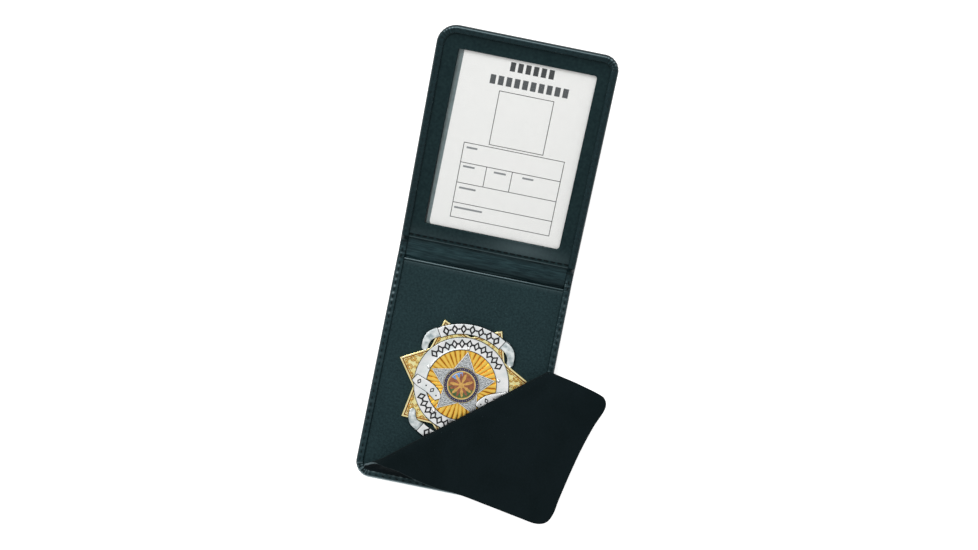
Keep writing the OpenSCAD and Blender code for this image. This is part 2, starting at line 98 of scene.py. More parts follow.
# A smooth curve through rows of numbers
def curveThrough(rows, perStep):
    curve = []
    for k in range(len(rows) - 1):
        a, b, c, d = rows[max(0, k - 1)], rows[k], rows[k + 1], rows[min(len(rows) - 1, k + 2)]
        for i in range(perStep + (k == len(rows) - 2)):
            t = i / perStep
            curve.append([0.5 * (2 * b[n] + (c[n] - a[n]) * t
                                 + (2 * a[n] - 5 * b[n] + 4 * c[n] - d[n]) * t**2
                                 + (3 * b[n] - a[n] - 3 * c[n] + d[n]) * t**3)
                          for n in range(len(b))])
    return curve


# Where a point of the flat case, in millimetres, lies at rest, in metres
def place(x, y, z):
    near, far, run = wallet["foldFrom"], wallet["foldTo"], wallet["foldTo"] - wallet["foldFrom"]
    upperHinge = wallet["hinge"] + wallet["spine"]
    for hingeY, share in (
        (upperHinge, (y - upperHinge + far) / run),
        (wallet["hinge"], (y - wallet["hinge"] - near) / run),
    ):
        turn = math.radians(wallet["bend"]) * smooth(share)
        dy, dz = y - hingeY, z - wallet["hingeHeight"]
        y = hingeY + dy * math.cos(turn) - dz * math.sin(turn)
        z = wallet["hingeHeight"] + dy * math.sin(turn) + dz * math.cos(turn)
    return (x * mm, (y - wallet["originY"]) * mm, z * mm)


# The same, with y from the card half's outer end back towards the spine
def placeCardHalf(x, y, z):
    return place(x, flatLength - y, z)


def addObject(name, data):
    thing = bpy.data.objects.new(name, data)
    bpy.context.collection.objects.link(thing)
    return thing


# The camera looks straight down from about 0.8 m, turned as the photo shows the wallet
view = {"height": 0.8, "across": 0.00245, "along": 0.0515, "turn": 11.42, "lens": 62.8,
        "sensor": 36}
lensData = bpy.data.cameras.new("camera")
lensData.sensor_width = view["sensor"]
lensData.lens = view["lens"]
camera = addObject("camera", lensData)
camera.location = (view["across"], view["along"], view["height"])
camera.rotation_euler = (0, 0, math.radians(view["turn"]))
bpy.context.scene.camera = camera
bpy.context.scene.view_settings.view_transform = "Standard"


def toLinear(colour):
    parts = [int(colour[i : i + 2], 16) / 255 for i in (1, 3, 5)]
    return tuple(c / 12.92 if c <= 0.04045 else ((c + 0.055) / 1.055) ** 2.4 for c in parts) + (1,)


def addNode(tree, kind, inputs=None, **settings):
    node = tree.nodes.new(kind)
    for name, value in settings.items():
        setattr(node, name, value)
    for name, value in (inputs or {}).items():
        if isinstance(value, bpy.types.NodeSocket):
            tree.links.new(value, node.inputs[name])
        else:
            node.inputs[name].default_value = value
    return node


def mathNode(tree, operation, *values):
    return addNode(tree, "ShaderNodeMath", dict(enumerate(values)), operation=operation).outputs[0]


# Plain soft studio light: a pale sky, brighter overhead, a large soft lamp to the upper left, and
# a white floor that keeps the wallet's shadow and glows where it is seen, up to pure white
studio = {"overhead": 0.93, "horizon": 0.62, "lampPower": 6.0, "lampSize": 0.5,
          "lampAt": (-0.45, 0.55, 0.85), "floor": "#ececec", "glow": 0.7, "floorSize": 3.0,
          "floorZ": -0.0002}


def makeSky():
    world = bpy.data.worlds.new("studio")
    bpy.context.scene.world = world
    world.use_nodes = True
    tree = world.node_tree
    tree.nodes.clear()
    way = addNode(tree, "ShaderNodeTexCoord").outputs["Generated"]
    up = addNode(tree, "ShaderNodeSeparateXYZ", {0: way}).outputs["Z"]
    sky = addNode(tree, "ShaderNodeMapRange", {"Value": up, "To Min": studio["horizon"],
                                               "To Max": studio["overhead"]}).outputs["Result"]
    path = addNode(tree, "ShaderNodeLightPath").outputs
    seen = mathNode(tree, "MAXIMUM", path["Is Camera Ray"], path["Is Transmission Ray"])
    strength = mathNode(tree, "MAXIMUM", sky, seen)
    light = addNode(tree, "ShaderNodeBackground", {"Strength": strength}).outputs[0]
    addNode(tree, "ShaderNodeOutputWorld", {"Surface": light})


def makeLamp():
    lamp = bpy.data.lights.new("softLamp", "AREA")
    lamp.energy, lamp.size = studio["lampPower"], studio["lampSize"]
    carrier = addObject("softLamp", lamp)
    carrier.location = studio["lampAt"]
    carrier.rotation_euler = (-Vector(studio["lampAt"])).to_track_quat("-Z", "Y").to_euler()


def makeFloor():
    size, z = studio["floorSize"], studio["floorZ"]
    mesh = bpy.data.meshes.new("floor")
    mesh.from_pydata([(-size, -size, z), (size, -size, z), (size, size, z), (-size, size, z)],
                     [], [(0, 1, 2, 3)])
    paper = bpy.data.materials.new("paper, white matt")
    paper.use_nodes = True
    tree = paper.node_tree
    tree.nodes.clear()
    path = addNode(tree, "ShaderNodeLightPath").outputs
    seen = mathNode(tree, "MAXIMUM", path["Is Camera Ray"], path["Is Glossy Ray"])
    seen = mathNode(tree, "MAXIMUM", seen, path["Is Transmission Ray"])
    strength = mathNode(tree, "MULTIPLY", seen, studio["glow"])
    glow = addNode(tree, "ShaderNodeEmission", {"Strength": strength}).outputs[0]
    matt = addNode(tree, "ShaderNodeBsdfDiffuse", {"Color": toLinear(studio["floor"])}).outputs[0]
    both = addNode(tree, "ShaderNodeAddShader", {0: glow, 1: matt}).outputs[0]
    addNode(tree, "ShaderNodeOutputMaterial", {"Surface": both})
    mesh.materials.append(paper)
    addObject("floor", mesh)


makeSky()
makeLamp()
makeFloor()
print("studio made")


# A material with its shader's own constants set; the caller links patterns to it
def newMaterial(name, colour, roughness, **constants):
    material = bpy.data.materials.new(name)
    material.use_nodes = True
    tree = material.node_tree
    shader = tree.nodes["Principled BSDF"]
    shader.inputs["Base Color"].default_value = toLinear(colour)
    shader.inputs["Roughness"].default_value = roughness
    for label, value in constants.items():
        shader.inputs[label.replace("_", " ")].default_value = value
    return material, tree, shader


def objectSpace(tree, period):  # period of the pattern, in millimetres
    where = addNode(tree, "ShaderNodeTexCoord").outputs["Object"]
    return addNode(tree, "ShaderNodeVectorMath", {0: where, "Scale": 1 / (period * mm)},
                   operation="SCALE").outputs[0]


def noiseNode(tree, period, detail, **more):
    return addNode(tree, "ShaderNodeTexNoise", {"Vector": objectSpace(tree, period), "Scale": 1.0,
                                                "Detail": detail, **more}).outputs["Fac"]


# Lays a pattern on a shader: its colours, low to high, the relief it leaves, in millimetres, and
# where the piece has one, its painted light: paler for a painted highlight, and darker below zero
# for painted shade in folds, creases and recesses, with a faint random tone
def dress(tree, shader, pattern, stops, depth, relief=None, look=None):
    ramp = addNode(tree, "ShaderNodeValToRGB", {"Fac": pattern})
    for index, (at, colour) in enumerate(stops):
        stop = ramp.color_ramp.elements[index] if index < 2 else ramp.color_ramp.elements.new(at)
        stop.position = at
        stop.color = toLinear(colour)
    colour = ramp.outputs["Color"]
    # painted light: the plus side mixes in the pale tone as a painted highlight, the minus side the
    # dark tone as painted shade
    if look:
        paintedLightAndTone = addNode(tree, "ShaderNodeAttribute", attribute_name="paintedLightAndTone").outputs["Fac"]
        shadeShare = mathNode(tree, "MULTIPLY", paintedLightAndTone, -1.0)
        for share, tone in ((paintedLightAndTone, look[0]), (shadeShare, look[1])):
            colour = addNode(tree, "ShaderNodeMix", {0: share, 6: colour, 7: toLinear(tone)},
                             data_type="RGBA").outputs[2]
    tree.links.new(colour, shader.inputs["Base Color"])
    node = addNode(tree, "ShaderNodeBump", {"Height": relief or pattern, "Distance": depth * mm})
    tree.links.new(node.outputs["Normal"], shader.inputs["Normal"])


paintedLightTones = ("#93a6ab", "#04090b")  # the pale of a painted highlight, and the dark of painted shade in folds and recesses
coolSheen = "#c4dfe4"  # what the waxed leathers mirror is a little blue


# Chrome-tanned calf: pebbled grain of the given period, pores between the pebbles, cloudy dye, and
# a finish that shines more where it has been rubbed
def calfLeather(name, dark, light, grain, depth, roughness, gloss):
    material, tree, shader = newMaterial(name, dark, roughness, Specular_IOR_Level=gloss,
                                         Specular_Tint=toLinear(coolSheen))
    pebbles = addNode(tree, "ShaderNodeTexVoronoi",
                      {"Vector": objectSpace(tree, grain), "Scale": 1.0, "Randomness": 0.9},
                      feature="DISTANCE_TO_EDGE").outputs["Distance"]
    pores = noiseNode(tree, grain * 1.1, 4.0)
    clouds = noiseNode(tree, 14, 3.0)
    mottle = addNode(tree, "ShaderNodeMix", {0: 0.2, 2: pores, 3: clouds}).outputs[0]
    rub = addNode(tree, "ShaderNodeMapRange", {"Value": clouds, "From Min": 0.3, "From Max": 0.7,
                                               "To Min": roughness - 0.06,
                                               "To Max": roughness + 0.08}).outputs["Result"]
    tree.links.new(rub, shader.inputs["Roughness"])
    relief = addNode(tree, "ShaderNodeMapRange", {"Value": pebbles, "From Max": 0.25}).outputs[0]
    dress(tree, shader, mottle, ((0.36, dark), (0.64, light)), depth,
          mathNode(tree, "ADD", relief, pores), paintedLightTones)
    return material


# The cover shines softly, the panel is matt and pebbled, the frame is nearly smooth, and the
# flap's face is the darkest; grain is coarser than a real calf's, so that it shows in the render
coverLeather = calfLeather("calf leather, waxed", "#132529", "#1f3337", 0.9, 0.025, 0.28, 0.26)
panelLeather = calfLeather("calf leather, fine grain", "#1a2a2d", "#25383b", 0.9, 0.03, 0.55, 0.1)
frameLeather = calfLeather("calf leather, smoothed", "#152427", "#1e2f31", 1.2, 0.012, 0.45, 0.1)
flapLeather = calfLeather("split leather, thin", "#0b1215", "#12191c", 0.8, 0.02, 0.4, 0.08)


# Glazed leather of the spine: creases run across the wallet, six millimetres long and a ninth of
# that wide, with pale streaks painted on as highlights where they catch the light
def glazedLeather():
    material, tree, shader = newMaterial("calf leather, glazed", "#15262a", 0.34,
                                         Specular_IOR_Level=0.25,
                                         Specular_Tint=toLinear(coolSheen))
    where = addNode(tree, "ShaderNodeTexCoord").outputs["Object"]
    stretched = addNode(tree, "ShaderNodeMapping", {"Vector": where, "Scale": (160, 1500, 1500)})
    streaks = addNode(tree, "ShaderNodeTexNoise", {"Vector": stretched.outputs[0], "Scale": 1.0,
                                                   "Detail": 5.0}).outputs["Fac"]
    dress(tree, shader, streaks, ((0.36, "#112327"), (0.68, "#273d41")), 0.08, look=paintedLightTones)
    return material


spineLeather = glazedLeather()


# Brushed suede: short nap that drinks light, with faint strokes where it was touched
def brushedSuede():
    material, tree, shader = newMaterial("suede, brushed", "#111a1c", 0.95,
                                         Specular_IOR_Level=0.06, Sheen_Weight=0.02,
                                         Sheen_Roughness=0.5)
    nap = noiseNode(tree, 0.5, 5.0)
    strokes = noiseNode(tree, 24, 3.0, Distortion=1.2)
    half = mathNode(tree, "MULTIPLY", mathNode(tree, "ADD", nap, strokes), 0.5)
    dress(tree, shader, half, ((0.38, "#0b1517"), (0.64, "#111b1e")), 0.05, nap, paintedLightTones)
    return material


flapSuede = brushedSuede()


# A dyed cut edge, a little paler than the face, with layers along it
def cutEdge():
    material, tree, shader = newMaterial("leather, cut edge", "#39474a", 0.7,
                                         Specular_IOR_Level=0.2)
    dress(tree, shader, noiseNode(tree, 0.7, 3.0), ((0.35, "#28353a"), (0.7, "#4a5a5e")), 0.02,
          look=paintedLightTones)
    return material


rawEdge = cutEdge()


# Plain stuffs: a noise of the given period between two colours, with its relief
def plainStuff(name, dark, light, period, depth, roughness, **constants):
    material, tree, shader = newMaterial(name, dark, roughness, **constants)
    dress(tree, shader, noiseNode(tree, period, 4.0), ((0.3, dark), (0.7, light)), depth)
    return material


# Flat printing ink, as dark as the place asks
def printInk(name, dark, light):
    return plainStuff("ink, " + name, dark, light, 0.6, 0.001, 0.6, Specular_IOR_Level=0.2)


# Threads: near black, and a paler one that has been rubbed. Then the weave of the lining, speckled
# board, bare wire, a smooth white card, four inks from black to pale grey, and a grey sleeve that
# takes the white out of the card's edge
waxedThread = plainStuff("thread, waxed polyester", "#060b0d", "#0d1518", 0.35, 0.03, 0.6,
                         Specular_IOR_Level=0.1)
wornThread = plainStuff("thread, rubbed polyester", "#121c1f", "#1b282b", 0.35, 0.03, 0.6,
                        Specular_IOR_Level=0.1)
liningCloth = plainStuff("lining, woven rayon", "#161d1f", "#20292b", 0.4, 0.02, 0.8,
                         Specular_IOR_Level=0.2)
greyBoard = plainStuff("grey board, pressed", "#7d6f55", "#93856a", 1.5, 0.03, 0.9)
pinSteel = plainStuff("steel, drawn wire", "#b4b8ba", "#c6cacb", 0.6, 0.004, 0.3, Metallic=1.0)
cardStock = plainStuff("card, coated white", "#eeeeec", "#f2f2f0", 2.5, 0.002, 0.45,
                       Specular_IOR_Level=0.3)
ruleInk = printInk("black rules", "#131618", "#1b1e20")
titleInk = printInk("black heading", "#1a1d1f", "#26292b")
lineInk = printInk("grey second line", "#3a3e41", "#474b4d")
labelInk = printInk("pale labels", "#7f8385", "#8d9193")
smokyVinyl = plainStuff("vinyl, smoky sleeve", "#5d7072", "#74888a", 4.0, 0.004, 0.35)
blackEnamel = plainStuff("enamel, black", "#07080a", "#101216", 1.0, 0.004, 0.2)


# Clear pressed vinyl: hardly seen, but for a soft gloss with slow waves
def pressedVinyl():
    material, tree, shader = newMaterial("vinyl, clear", "#f4f8f8", 0.12, Alpha=0.03,
                                         Specular_IOR_Level=0.3)
    dress(tree, shader, noiseNode(tree, 22, 2.0), ((0.3, "#eef6f6"), (0.7, "#f8fbfb")), 0.06)
    return material


clearVinyl = pressedVinyl()


# Plated metal: polished high parts, tarnish and tooling marks in the low ones
def platedMetal(name, low, high, roughness, period, depth):
    material, tree, shader = newMaterial(name, high, roughness, Metallic=1.0)
    dress(tree, shader, noiseNode(tree, period, 3.0), ((0.32, low), (0.6, high)), depth)
    return material


# Gold: the star's face, its bright border, the brown groove inside that, and the scrolls. Silver:
# ring and ribbons, the ribbons' tails in a darker copy as painted shade, the painted shade of walls
# and edges, and the inner star's grit
goldPlate = platedMetal("brass, gold plated", "#f9e489", "#fff8ba", 0.28, 1.6, 0.015)
goldEdge = platedMetal("brass, gold plated edge", "#f7e59a", "#fff3bd", 0.24, 2.0, 0.004)
goldShade = platedMetal("brass, tarnished", "#7a4416", "#a8661f", 0.4, 0.8, 0.01)
goldRelief = platedMetal("brass, gold plated relief", "#b9802a", "#e3b552", 0.35, 0.7, 0.03)
silverPlate = platedMetal("nickel silver, polished", "#eaf1f1", "#ffffff", 0.3, 4.5, 0.03)
# a darker copy of the polished silver, painted shade for the folded tails
silverTailShade = platedMetal("nickel silver, folded", "#a3b2b4", "#eef4f4", 0.33, 2.4, 0.03)
# near-black silver put on walls and edges as painted shade
silverPaintedShade = platedMetal("nickel silver, paintedShade", "#23282a", "#3b4143", 0.45, 0.8, 0.01)
silverRelief = platedMetal("nickel silver, stippled", "#5f666a", "#dde2e4", 0.34, 0.55, 0.08)


# Fire-gilt rays: bright crests and orange grooves, by the angle about the badge's centre
def giltRays(count, middleY):
    material, tree, shader = newMaterial("brass, fire gilt", "#f2b53c", 0.3, Metallic=1.0)
    where = addNode(tree, "ShaderNodeTexCoord").outputs["Object"]
    moved = addNode(tree, "ShaderNodeVectorMath", {0: where, 1: (0, middleY * mm, 0)},
                    operation="SUBTRACT").outputs[0]
    parts = addNode(tree, "ShaderNodeSeparateXYZ", {0: moved})
    angle = mathNode(tree, "ARCTAN2", parts.outputs["Y"], parts.outputs["X"])
    crest = mathNode(tree, "COSINE", mathNode(tree, "MULTIPLY", angle, count))
    scaled = mathNode(tree, "MULTIPLY_ADD", crest, 0.5, noiseNode(tree, 5, 2.0))
    dress(tree, shader, scaled, ((0.02, "#a8641e"), (0.11, "#eeb240"), (0.8, "#fcd468")), 0.02)
    return material


# Hard enamel fired in one colour: glassy, and cloudy in its depth
def hardEnamel(name, dark, light):
    return plainStuff("enamel, " + name, dark, light, 1.4, 0.006, 0.18, Coat_Weight=0.4,
                      Coat_Roughness=0.08)


navyEnamel = hardEnamel("navy", "#14103a", "#241c58")
rustEnamel = hardEnamel("rust", "#6e3a1e", "#a8623a")
amberEnamel = hardEnamel("amber", "#b5883a", "#dcac5a")
greenEnamel = hardEnamel("green", "#2a4a20", "#4c6e30")
blueEnamel = hardEnamel("blue", "#3a6aa8", "#7aa4d8")
print("materials made")


# From this angle on, in degrees, an edge is sharp and not shaded smooth
sharpFrom = {"soft": 60, "slab": 50, "repeated": 45, "plate": 40, "metal": 30, "never": 180}


def finishMesh(piece, materials, sharp):
    for material in materials if isinstance(materials, list) else [materials]:
        piece.data.materials.append(material)
    piece.data.shade_smooth()
    piece.data.set_sharp_from_angle(angle=math.radians(sharpFrom[sharp]))
    return piece


# A piece from points in metres; doubles are merged and the faces turned outwards
def newPiece(name, points, faces, materials, sharp, faceMaterial=None, paintedLightAndTone=None):
    mesh = bpy.data.meshes.new(name)
    mesh.from_pydata(points, [], faces)
    if faceMaterial:
        mesh.polygons.foreach_set("material_index", faceMaterial)
    if paintedLightAndTone:
        mesh.attributes.new("paintedLightAndTone", "FLOAT", "POINT").data.foreach_set("value", paintedLightAndTone)
    shape = bmesh.new()
    shape.from_mesh(mesh)
    bmesh.ops.remove_doubles(shape, verts=shape.verts, dist=2e-6)
    bmesh.ops.dissolve_degenerate(shape, dist=1e-6, edges=shape.edges)
    bmesh.ops.recalc_face_normals(shape, faces=shape.faces)
    shape.to_mesh(mesh)
    shape.free()
    return finishMesh(addObject(name, mesh), materials, sharp)


def gridFaces(rows, columns, closeRows=False, closeColumns=False):
    faces = []
    for i in range(rows if closeRows else rows - 1):
        for j in range(columns if closeColumns else columns - 1):
            k, m = (i + 1) % rows, (j + 1) % columns
            faces.append((i * columns + j, i * columns + m, k * columns + m, k * columns + j))
    return faces


# Replaces a piece's mesh by what its modifiers make of it
def bakeModifiers(piece):
    bpy.context.view_layer.update()
    seen = piece.evaluated_get(bpy.context.evaluated_depsgraph_get())
    mesh = bpy.data.meshes.new_from_object(seen)
    piece.modifiers.clear()
    old, piece.data = piece.data, mesh
    bpy.data.meshes.remove(old)
    mesh.name = piece.name
    return piece


# A mesh of bare points that a Geometry Nodes tree repeats a shape on: where each stands, which
# way it runs, which way is up, and its size
def pointCarrier(name, stands):
    mesh = bpy.data.meshes.new(name)
    mesh.from_pydata([stand[0] for stand in stands], [], [])
    for label, column in (("along", 1), ("up", 2), ("size", 3)):
        values = mesh.attributes.new(label, "FLOAT_VECTOR", "POINT")
        values.data.foreach_set("vector", [c for stand in stands for c in stand[column]])
    return mesh


# A tree that repeats one shape on its points; sizes are its named inputs, with their values
def repeatTree(name, sizes, shape, material):
    tree = bpy.data.node_groups.new(name, "GeometryNodeTree")
    tree.interface.new_socket("Geometry", in_out="INPUT", socket_type="NodeSocketGeometry")
    tree.interface.new_socket("Geometry", in_out="OUTPUT", socket_type="NodeSocketGeometry")
    for label in sizes:
        tree.interface.new_socket(label, in_out="INPUT", socket_type="NodeSocketFloat")
    given = addNode(tree, "NodeGroupInput").outputs
    along, up, size = (addNode(tree, "GeometryNodeInputNamedAttribute", {"Name": label},
                               data_type="FLOAT_VECTOR").outputs["Attribute"]
                       for label in ("along", "up", "size"))
    turned = addNode(tree, "FunctionNodeAlignRotationToVector", {"Vector": along}, axis="X")
    raised = addNode(tree, "FunctionNodeAlignRotationToVector",
                     {"Rotation": turned.outputs[0], "Vector": up}, axis="Z", pivot_axis="X")
    spread = addNode(tree, "GeometryNodeInstanceOnPoints",
                     {"Points": given["Geometry"], "Instance": shape(tree, given),
                      "Rotation": raised.outputs[0], "Scale": size})
    whole = addNode(tree, "GeometryNodeRealizeInstances", {"Geometry": spread.outputs[0]})
    dressed = addNode(tree, "GeometryNodeSetMaterial", {"Geometry": whole.outputs[0],
                                                        "Material": material})
    addNode(tree, "NodeGroupOutput", {"Geometry": dressed.outputs[0]})
    return tree


# One mesh of a tree's shape on every point; its inputs are set by socket identifier
def repeatedPiece(name, stands, sizes, shape, material):
    piece = addObject(name, pointCarrier(name, stands))
    modifier = piece.modifiers.new("repeat", "NODES")
    modifier.node_group = repeatTree(name + "Tree", sizes, shape, material)
    for socket in modifier.node_group.interface.items_tree:
        if socket.in_out == "INPUT" and socket.name in sizes:
            modifier[socket.identifier] = sizes[socket.name]
    bakeModifiers(piece)
    return finishMesh(piece, [], "repeated")


# A wire along a curve, round or with few sides
def wireAlong(tree, curve, radius, sides=6, **more):
    ring = addNode(tree, "GeometryNodeCurvePrimitiveCircle", {"Resolution": sides,
                                                              "Radius": radius})
    return addNode(tree, "GeometryNodeCurveToMesh",
                   {"Curve": curve, "Profile Curve": ring.outputs["Curve"], "Fill Caps": True,
                    **more}).outputs[0]


# A thread that dips into the leather at both ends
def threadLoop(tree, given):
    half = mathNode(tree, "MULTIPLY", given["Length"], 0.5)
    back = mathNode(tree, "MULTIPLY", half, -1.0)
    sunk = mathNode(tree, "MULTIPLY", given["Arch"], -1.0)
    top = mathNode(tree, "MULTIPLY", given["Arch"], 2.0)
    first = addNode(tree, "ShaderNodeCombineXYZ", {"X": back, "Z": sunk})
    middle = addNode(tree, "ShaderNodeCombineXYZ", {"Z": top})
    last = addNode(tree, "ShaderNodeCombineXYZ", {"X": half, "Z": sunk})
    arc = addNode(tree, "GeometryNodeCurveQuadraticBezier",
                  {"Resolution": 6, "Start": first.outputs[0], "Middle": middle.outputs[0],
                   "End": last.outputs[0]})
    return wireAlong(tree, arc.outputs[0], given["Thread"])


# A low stud with sloping sides, its size given by each point
def lowStud(sides):
    def shape(tree, given):
        cone = addNode(tree, "GeometryNodeMeshCone",
                       {"Vertices": sides, "Radius Top": given["Top"],
                        "Radius Bottom": given["Base"], "Depth": given["Height"]})
        return cone.outputs["Mesh"]
    return shape


# Where something stands on a placer's surface, which way it runs and which way is up
def standOn(placer, x, y, z, dx, dy, size=(1.0, 1.0, 1.0)):
    here, ahead = Vector(placer(x, y, z)), Vector(placer(x + dx, y + dy, z))
    above = Vector(placer(x, y, z + 1))
    return here, (ahead - here).normalized(), (above - here).normalized(), size


# Stations along the turned edge of one half, from mid-spine down one side, round the end and
# back: x, y, outward direction, and the distance along the row of stitches
rim = {
    "step": 0.4,
    "stitchInset": 1.7,
    "pitch": 3.2,
    "bulge": 0.14,  # leather between two stitches
    "dip": 0.13,  # leather under a stitch
    "gather": 0.42,  # puckers round the corners
    "gatherPitch": 1.35,
    # how uneven the puckers are: their mean height, the spread and scale of it, and fine bumps
    "swell": (0.8, 0.7, 0.21),
    "bumps": (0.09, 0.9),
    "dropFrom": 1.7,  # past the fold line the edge gets thinner, down to the spine's
    "dropTo": 5.4,
    "creases": ((2.4, 0.3), (3.8, 0.4), (5.3, 0.25)),  # how far past the fold line, how deep
    "creaseWide": 0.4,
    "creaseMarks": ((0.7, 0.0, 0.35), (-0.12, 0.8, 0.3)),  # painted shade in a crease, painted highlight beside it
    "lipPale": 0.42,
    # insets of the painted marks, with their widths: the painted highlight line inside the outer
    # end's edge, the painted highlight spot between two stitches, the painted shade round a stitch,
    # and the painted highlight strokes along the lip
    "line": (0.75, 0.3),
    "spot": (1.6, 0.4),
    "hole": (1.7, 0.5),
    "lip": (3.05, 0.22),
    "marksFrom": 0.3,  # further out than this the edge has its ring's own painted light alone
    "marksTo": 3.3,  # and further in lies the painted shade line beside the lip
    "cornerSteps": 32,
    "faceColumns": 8,
    # how each half's painted light is set: painted highlight spots everywhere and beside the spine,
    # at the left and at the right, from where and over what length, painted shade round the
    # stitches, height of the puckers, painted reflection on the outer end's edge, darkness of the
    # sides, share of the painted shade line beside the lip, and painted highlight of the line
    # inside the outer end's painted shade edge
    "badgeHalf": {"spots": 0.02, "left": 0.42, "right": 0.12, "from": -12, "over": 14,
                  "holes": 0.5, "lift": 0.75, "end": 1.0, "dark": 0.0, "groove": 1.0, "line": 0.0},
    "cardHalf": {"spots": 0.0, "left": 0.3, "right": 0.15, "from": 0, "over": 10,
                 "holes": 0.12, "lift": 0.3, "end": 0.0, "dark": 0.3, "groove": 0.55, "line": 0.55},
    "cardCorner": 9.1,  # radius of the card half's left corner, which is rubbed rounder
    # inset from the outer edge, height on a half, height on the spine, share of the puckers, and
    # painted light at the sides and at the end: below zero painted shade in the groove beside the
    # lip and on the outer edge, above zero a painted reflection on the outer end's edge
    "rings": [
        (3.4, 1.2, 1.2, 0, 0, 0), (1.2, 1.2, 1.2, 0, 0, 0), (1.2, 4.9, 2.4, 0, -0.5, -0.5),
        (3.4, 4.9, 2.4, 0, -1, -1), (3.5, 5.2, 2.75, 0.2, -0.8, -0.8),
        (3.4, 5.5, 3.0, 0.4, -0.5, -0.3), (3.15, 5.75, 3.2, 0.8, 0, 0),
        (2.8, 5.88, 3.32, 1, 0.02, 0.02), (2.3, 5.92, 3.36, 1, 0, 0),
        (1.9, 5.96, 3.4, 0.85, 0, 0), (1.5, 6.0, 3.38, 0.6, 0, 0),
        (1.1, 5.95, 3.3, 0.4, 0.03, 0.02), (0.75, 5.78, 3.14, 0.28, 0.05, 0.42),
        (0.42, 5.45, 2.9, 0.2, -0.1, 1.0), (0.16, 5.0, 2.65, 0.15, -0.6, 1.0),
        (0.03, 4.3, 2.3, 0.12, -0.6, 1.0), (0.1, 3.5, 1.95, 0.1, -0.4, 0.4),
        (0.3, 2.7, 1.6, 0.06, -0.1, 0), (0.62, 1.9, 1.25, 0, 0, 0), (0.98, 1.25, 0.9, 0, 0, 0),
        (1.4, 0.7, 0.55, 0, 0, 0), (1.85, 0.3, 0.25, 0, 0, 0), (2.4, 0.08, 0.07, 0, 0, 0),
        (3.4, 0, 0, 0, 0, 0),
    ],
}


def rimStations(end, leftRadius):
    half, halves, cornerSteps = wallet["halfWidth"], [], rim["cornerSteps"]
    sideCount = round((end - wallet["cornerRadius"]) / rim["step"])
    endCount = round((half - wallet["cornerRadius"]) / rim["step"])
    for radius in (leftRadius, wallet["cornerRadius"]):
        sewn = (radius - rim["stitchInset"]) * math.pi / 2
        path = [(-half, between(end, radius, i / sideCount), -1.0, 0.0,
                 (end - radius) * i / sideCount) for i in range(sideCount)]
        for i in range(cornerSteps + 1):
            turn = math.pi + math.pi / 2 * i / cornerSteps
            path.append((radius - half + radius * math.cos(turn),
                         radius + radius * math.sin(turn), math.cos(turn), math.sin(turn),
                         end - radius + sewn * i / cornerSteps))
        path += [(between(radius - half, 0, i / endCount), 0.0, 0.0, -1.0,
                  end - radius + sewn + (half - radius) * i / endCount)
                 for i in range(1, endCount + 1)]
        halves.append(path)
    left, right = halves
    whole = left[-1][4] + right[-1][4]
    return left + [(-x, y, -nx, ny, whole - s) for x, y, nx, ny, s in reversed(right[:-1])]


# Height share of the turned edge at a distance past the fold line: 1 on a half, 0 on the spine
def rimShare(past):
    return 1 - smooth((past - rim["dropFrom"]) / (rim["dropTo"] - rim["dropFrom"]))


# How far the leather stands out between two stitches, and at a corner's gathers
def pucker(x, y, s, past, pitch, seed):
    gap = math.cos(math.pi * s / pitch) ** 2
    lift = between(-rim["dip"], rim["bulge"], gap**1.5)
    mean, spread, scale = rim["swell"]
    lift *= mean + spread * noise.noise(Vector((x * scale, y * scale, seed)))
    bump, scale = rim["bumps"]
    lift += bump * noise.noise(Vector((x * scale, y * scale, seed + 5)))
    return lift - sum(deep * bell(past, at, rim["creaseWide"]) for at, deep in rim["creases"])


# Share of a corner's gathers, and which part of a gather lies at s
def gathers(x, y, s, seed):
    radius = wallet["cornerRadius"]
    if y > radius or abs(x) < wallet["halfWidth"] - radius:
        return 0.0, 0.0
    turn = math.atan2(radius - y, abs(x) - wallet["halfWidth"] + radius) / (math.pi / 2)
    wobble = 0.4 * noise.noise(Vector((s * 0.4, seed, 3.0)))
    fold = abs(math.sin(math.pi * (s / rim["gatherPitch"] + wobble)))
    return math.sin(math.pi * turn) ** 0.6, fold - 0.7


# Painted light on the rim: a painted highlight between the stitches, most of all beside the spine,
# and on the lip, and a painted reflection on the outer end's edge; painted shade round the
# stitches, in the creases and beside the lip; and a faint random tone
def rimPaintedLightAndTone(ring, look, x, y, s, past, pitch, seed):
    inset, side, tail = ring[0], ring[4], ring[5]
    gap = math.cos(math.pi * s / pitch) ** 2
    outwards = smooth(1 - y / wallet["cornerRadius"])
    paintedLightAndTone = between(side, tail, outwards * look["end"])
    if inset > rim["marksTo"]:
        return paintedLightAndTone * look["groove"]
    if inset < rim["marksFrom"]:
        return paintedLightAndTone
    paintedLightAndTone -= look["dark"]
    paintedLightAndTone += (look["line"] + look["dark"]) * outwards * bell(inset, *rim["line"])
    uneven = noise.noise(Vector((x * 0.7, y * 0.7, seed + 8)))
    near = look["left" if x < 0 else "right"] * bell(past, look["from"], look["over"])
    spot = (look["spots"] + near) * gap**5 * max(0.0, 1 + 2 * uneven) * (1 - 0.7 * outwards)
    spot *= bell(inset, *rim["spot"])
    holes = look["holes"] * (1 - gap) ** 4 * (1 - 0.6 * outwards) * bell(inset, *rim["hole"])
    strokes = (0.25 + 0.75 * gap) * max(0.0, 1 + 1.6 * uneven)
    lip = rim["lipPale"] * look["end"] * outwards * strokes * bell(inset, *rim["lip"])
    # the corner's gathers get a painted highlight on their crests and painted shade in their
    # valleys; each crease gets painted shade with a painted highlight beside it
    share, fold = gathers(x, y, s, seed)
    crease = sum(marks(past - at, rim["creaseMarks"]) for at, _ in rim["creases"])
    return paintedLightAndTone + spot - holes + lip + 0.05 * uneven + share * fold * 0.9 - crease


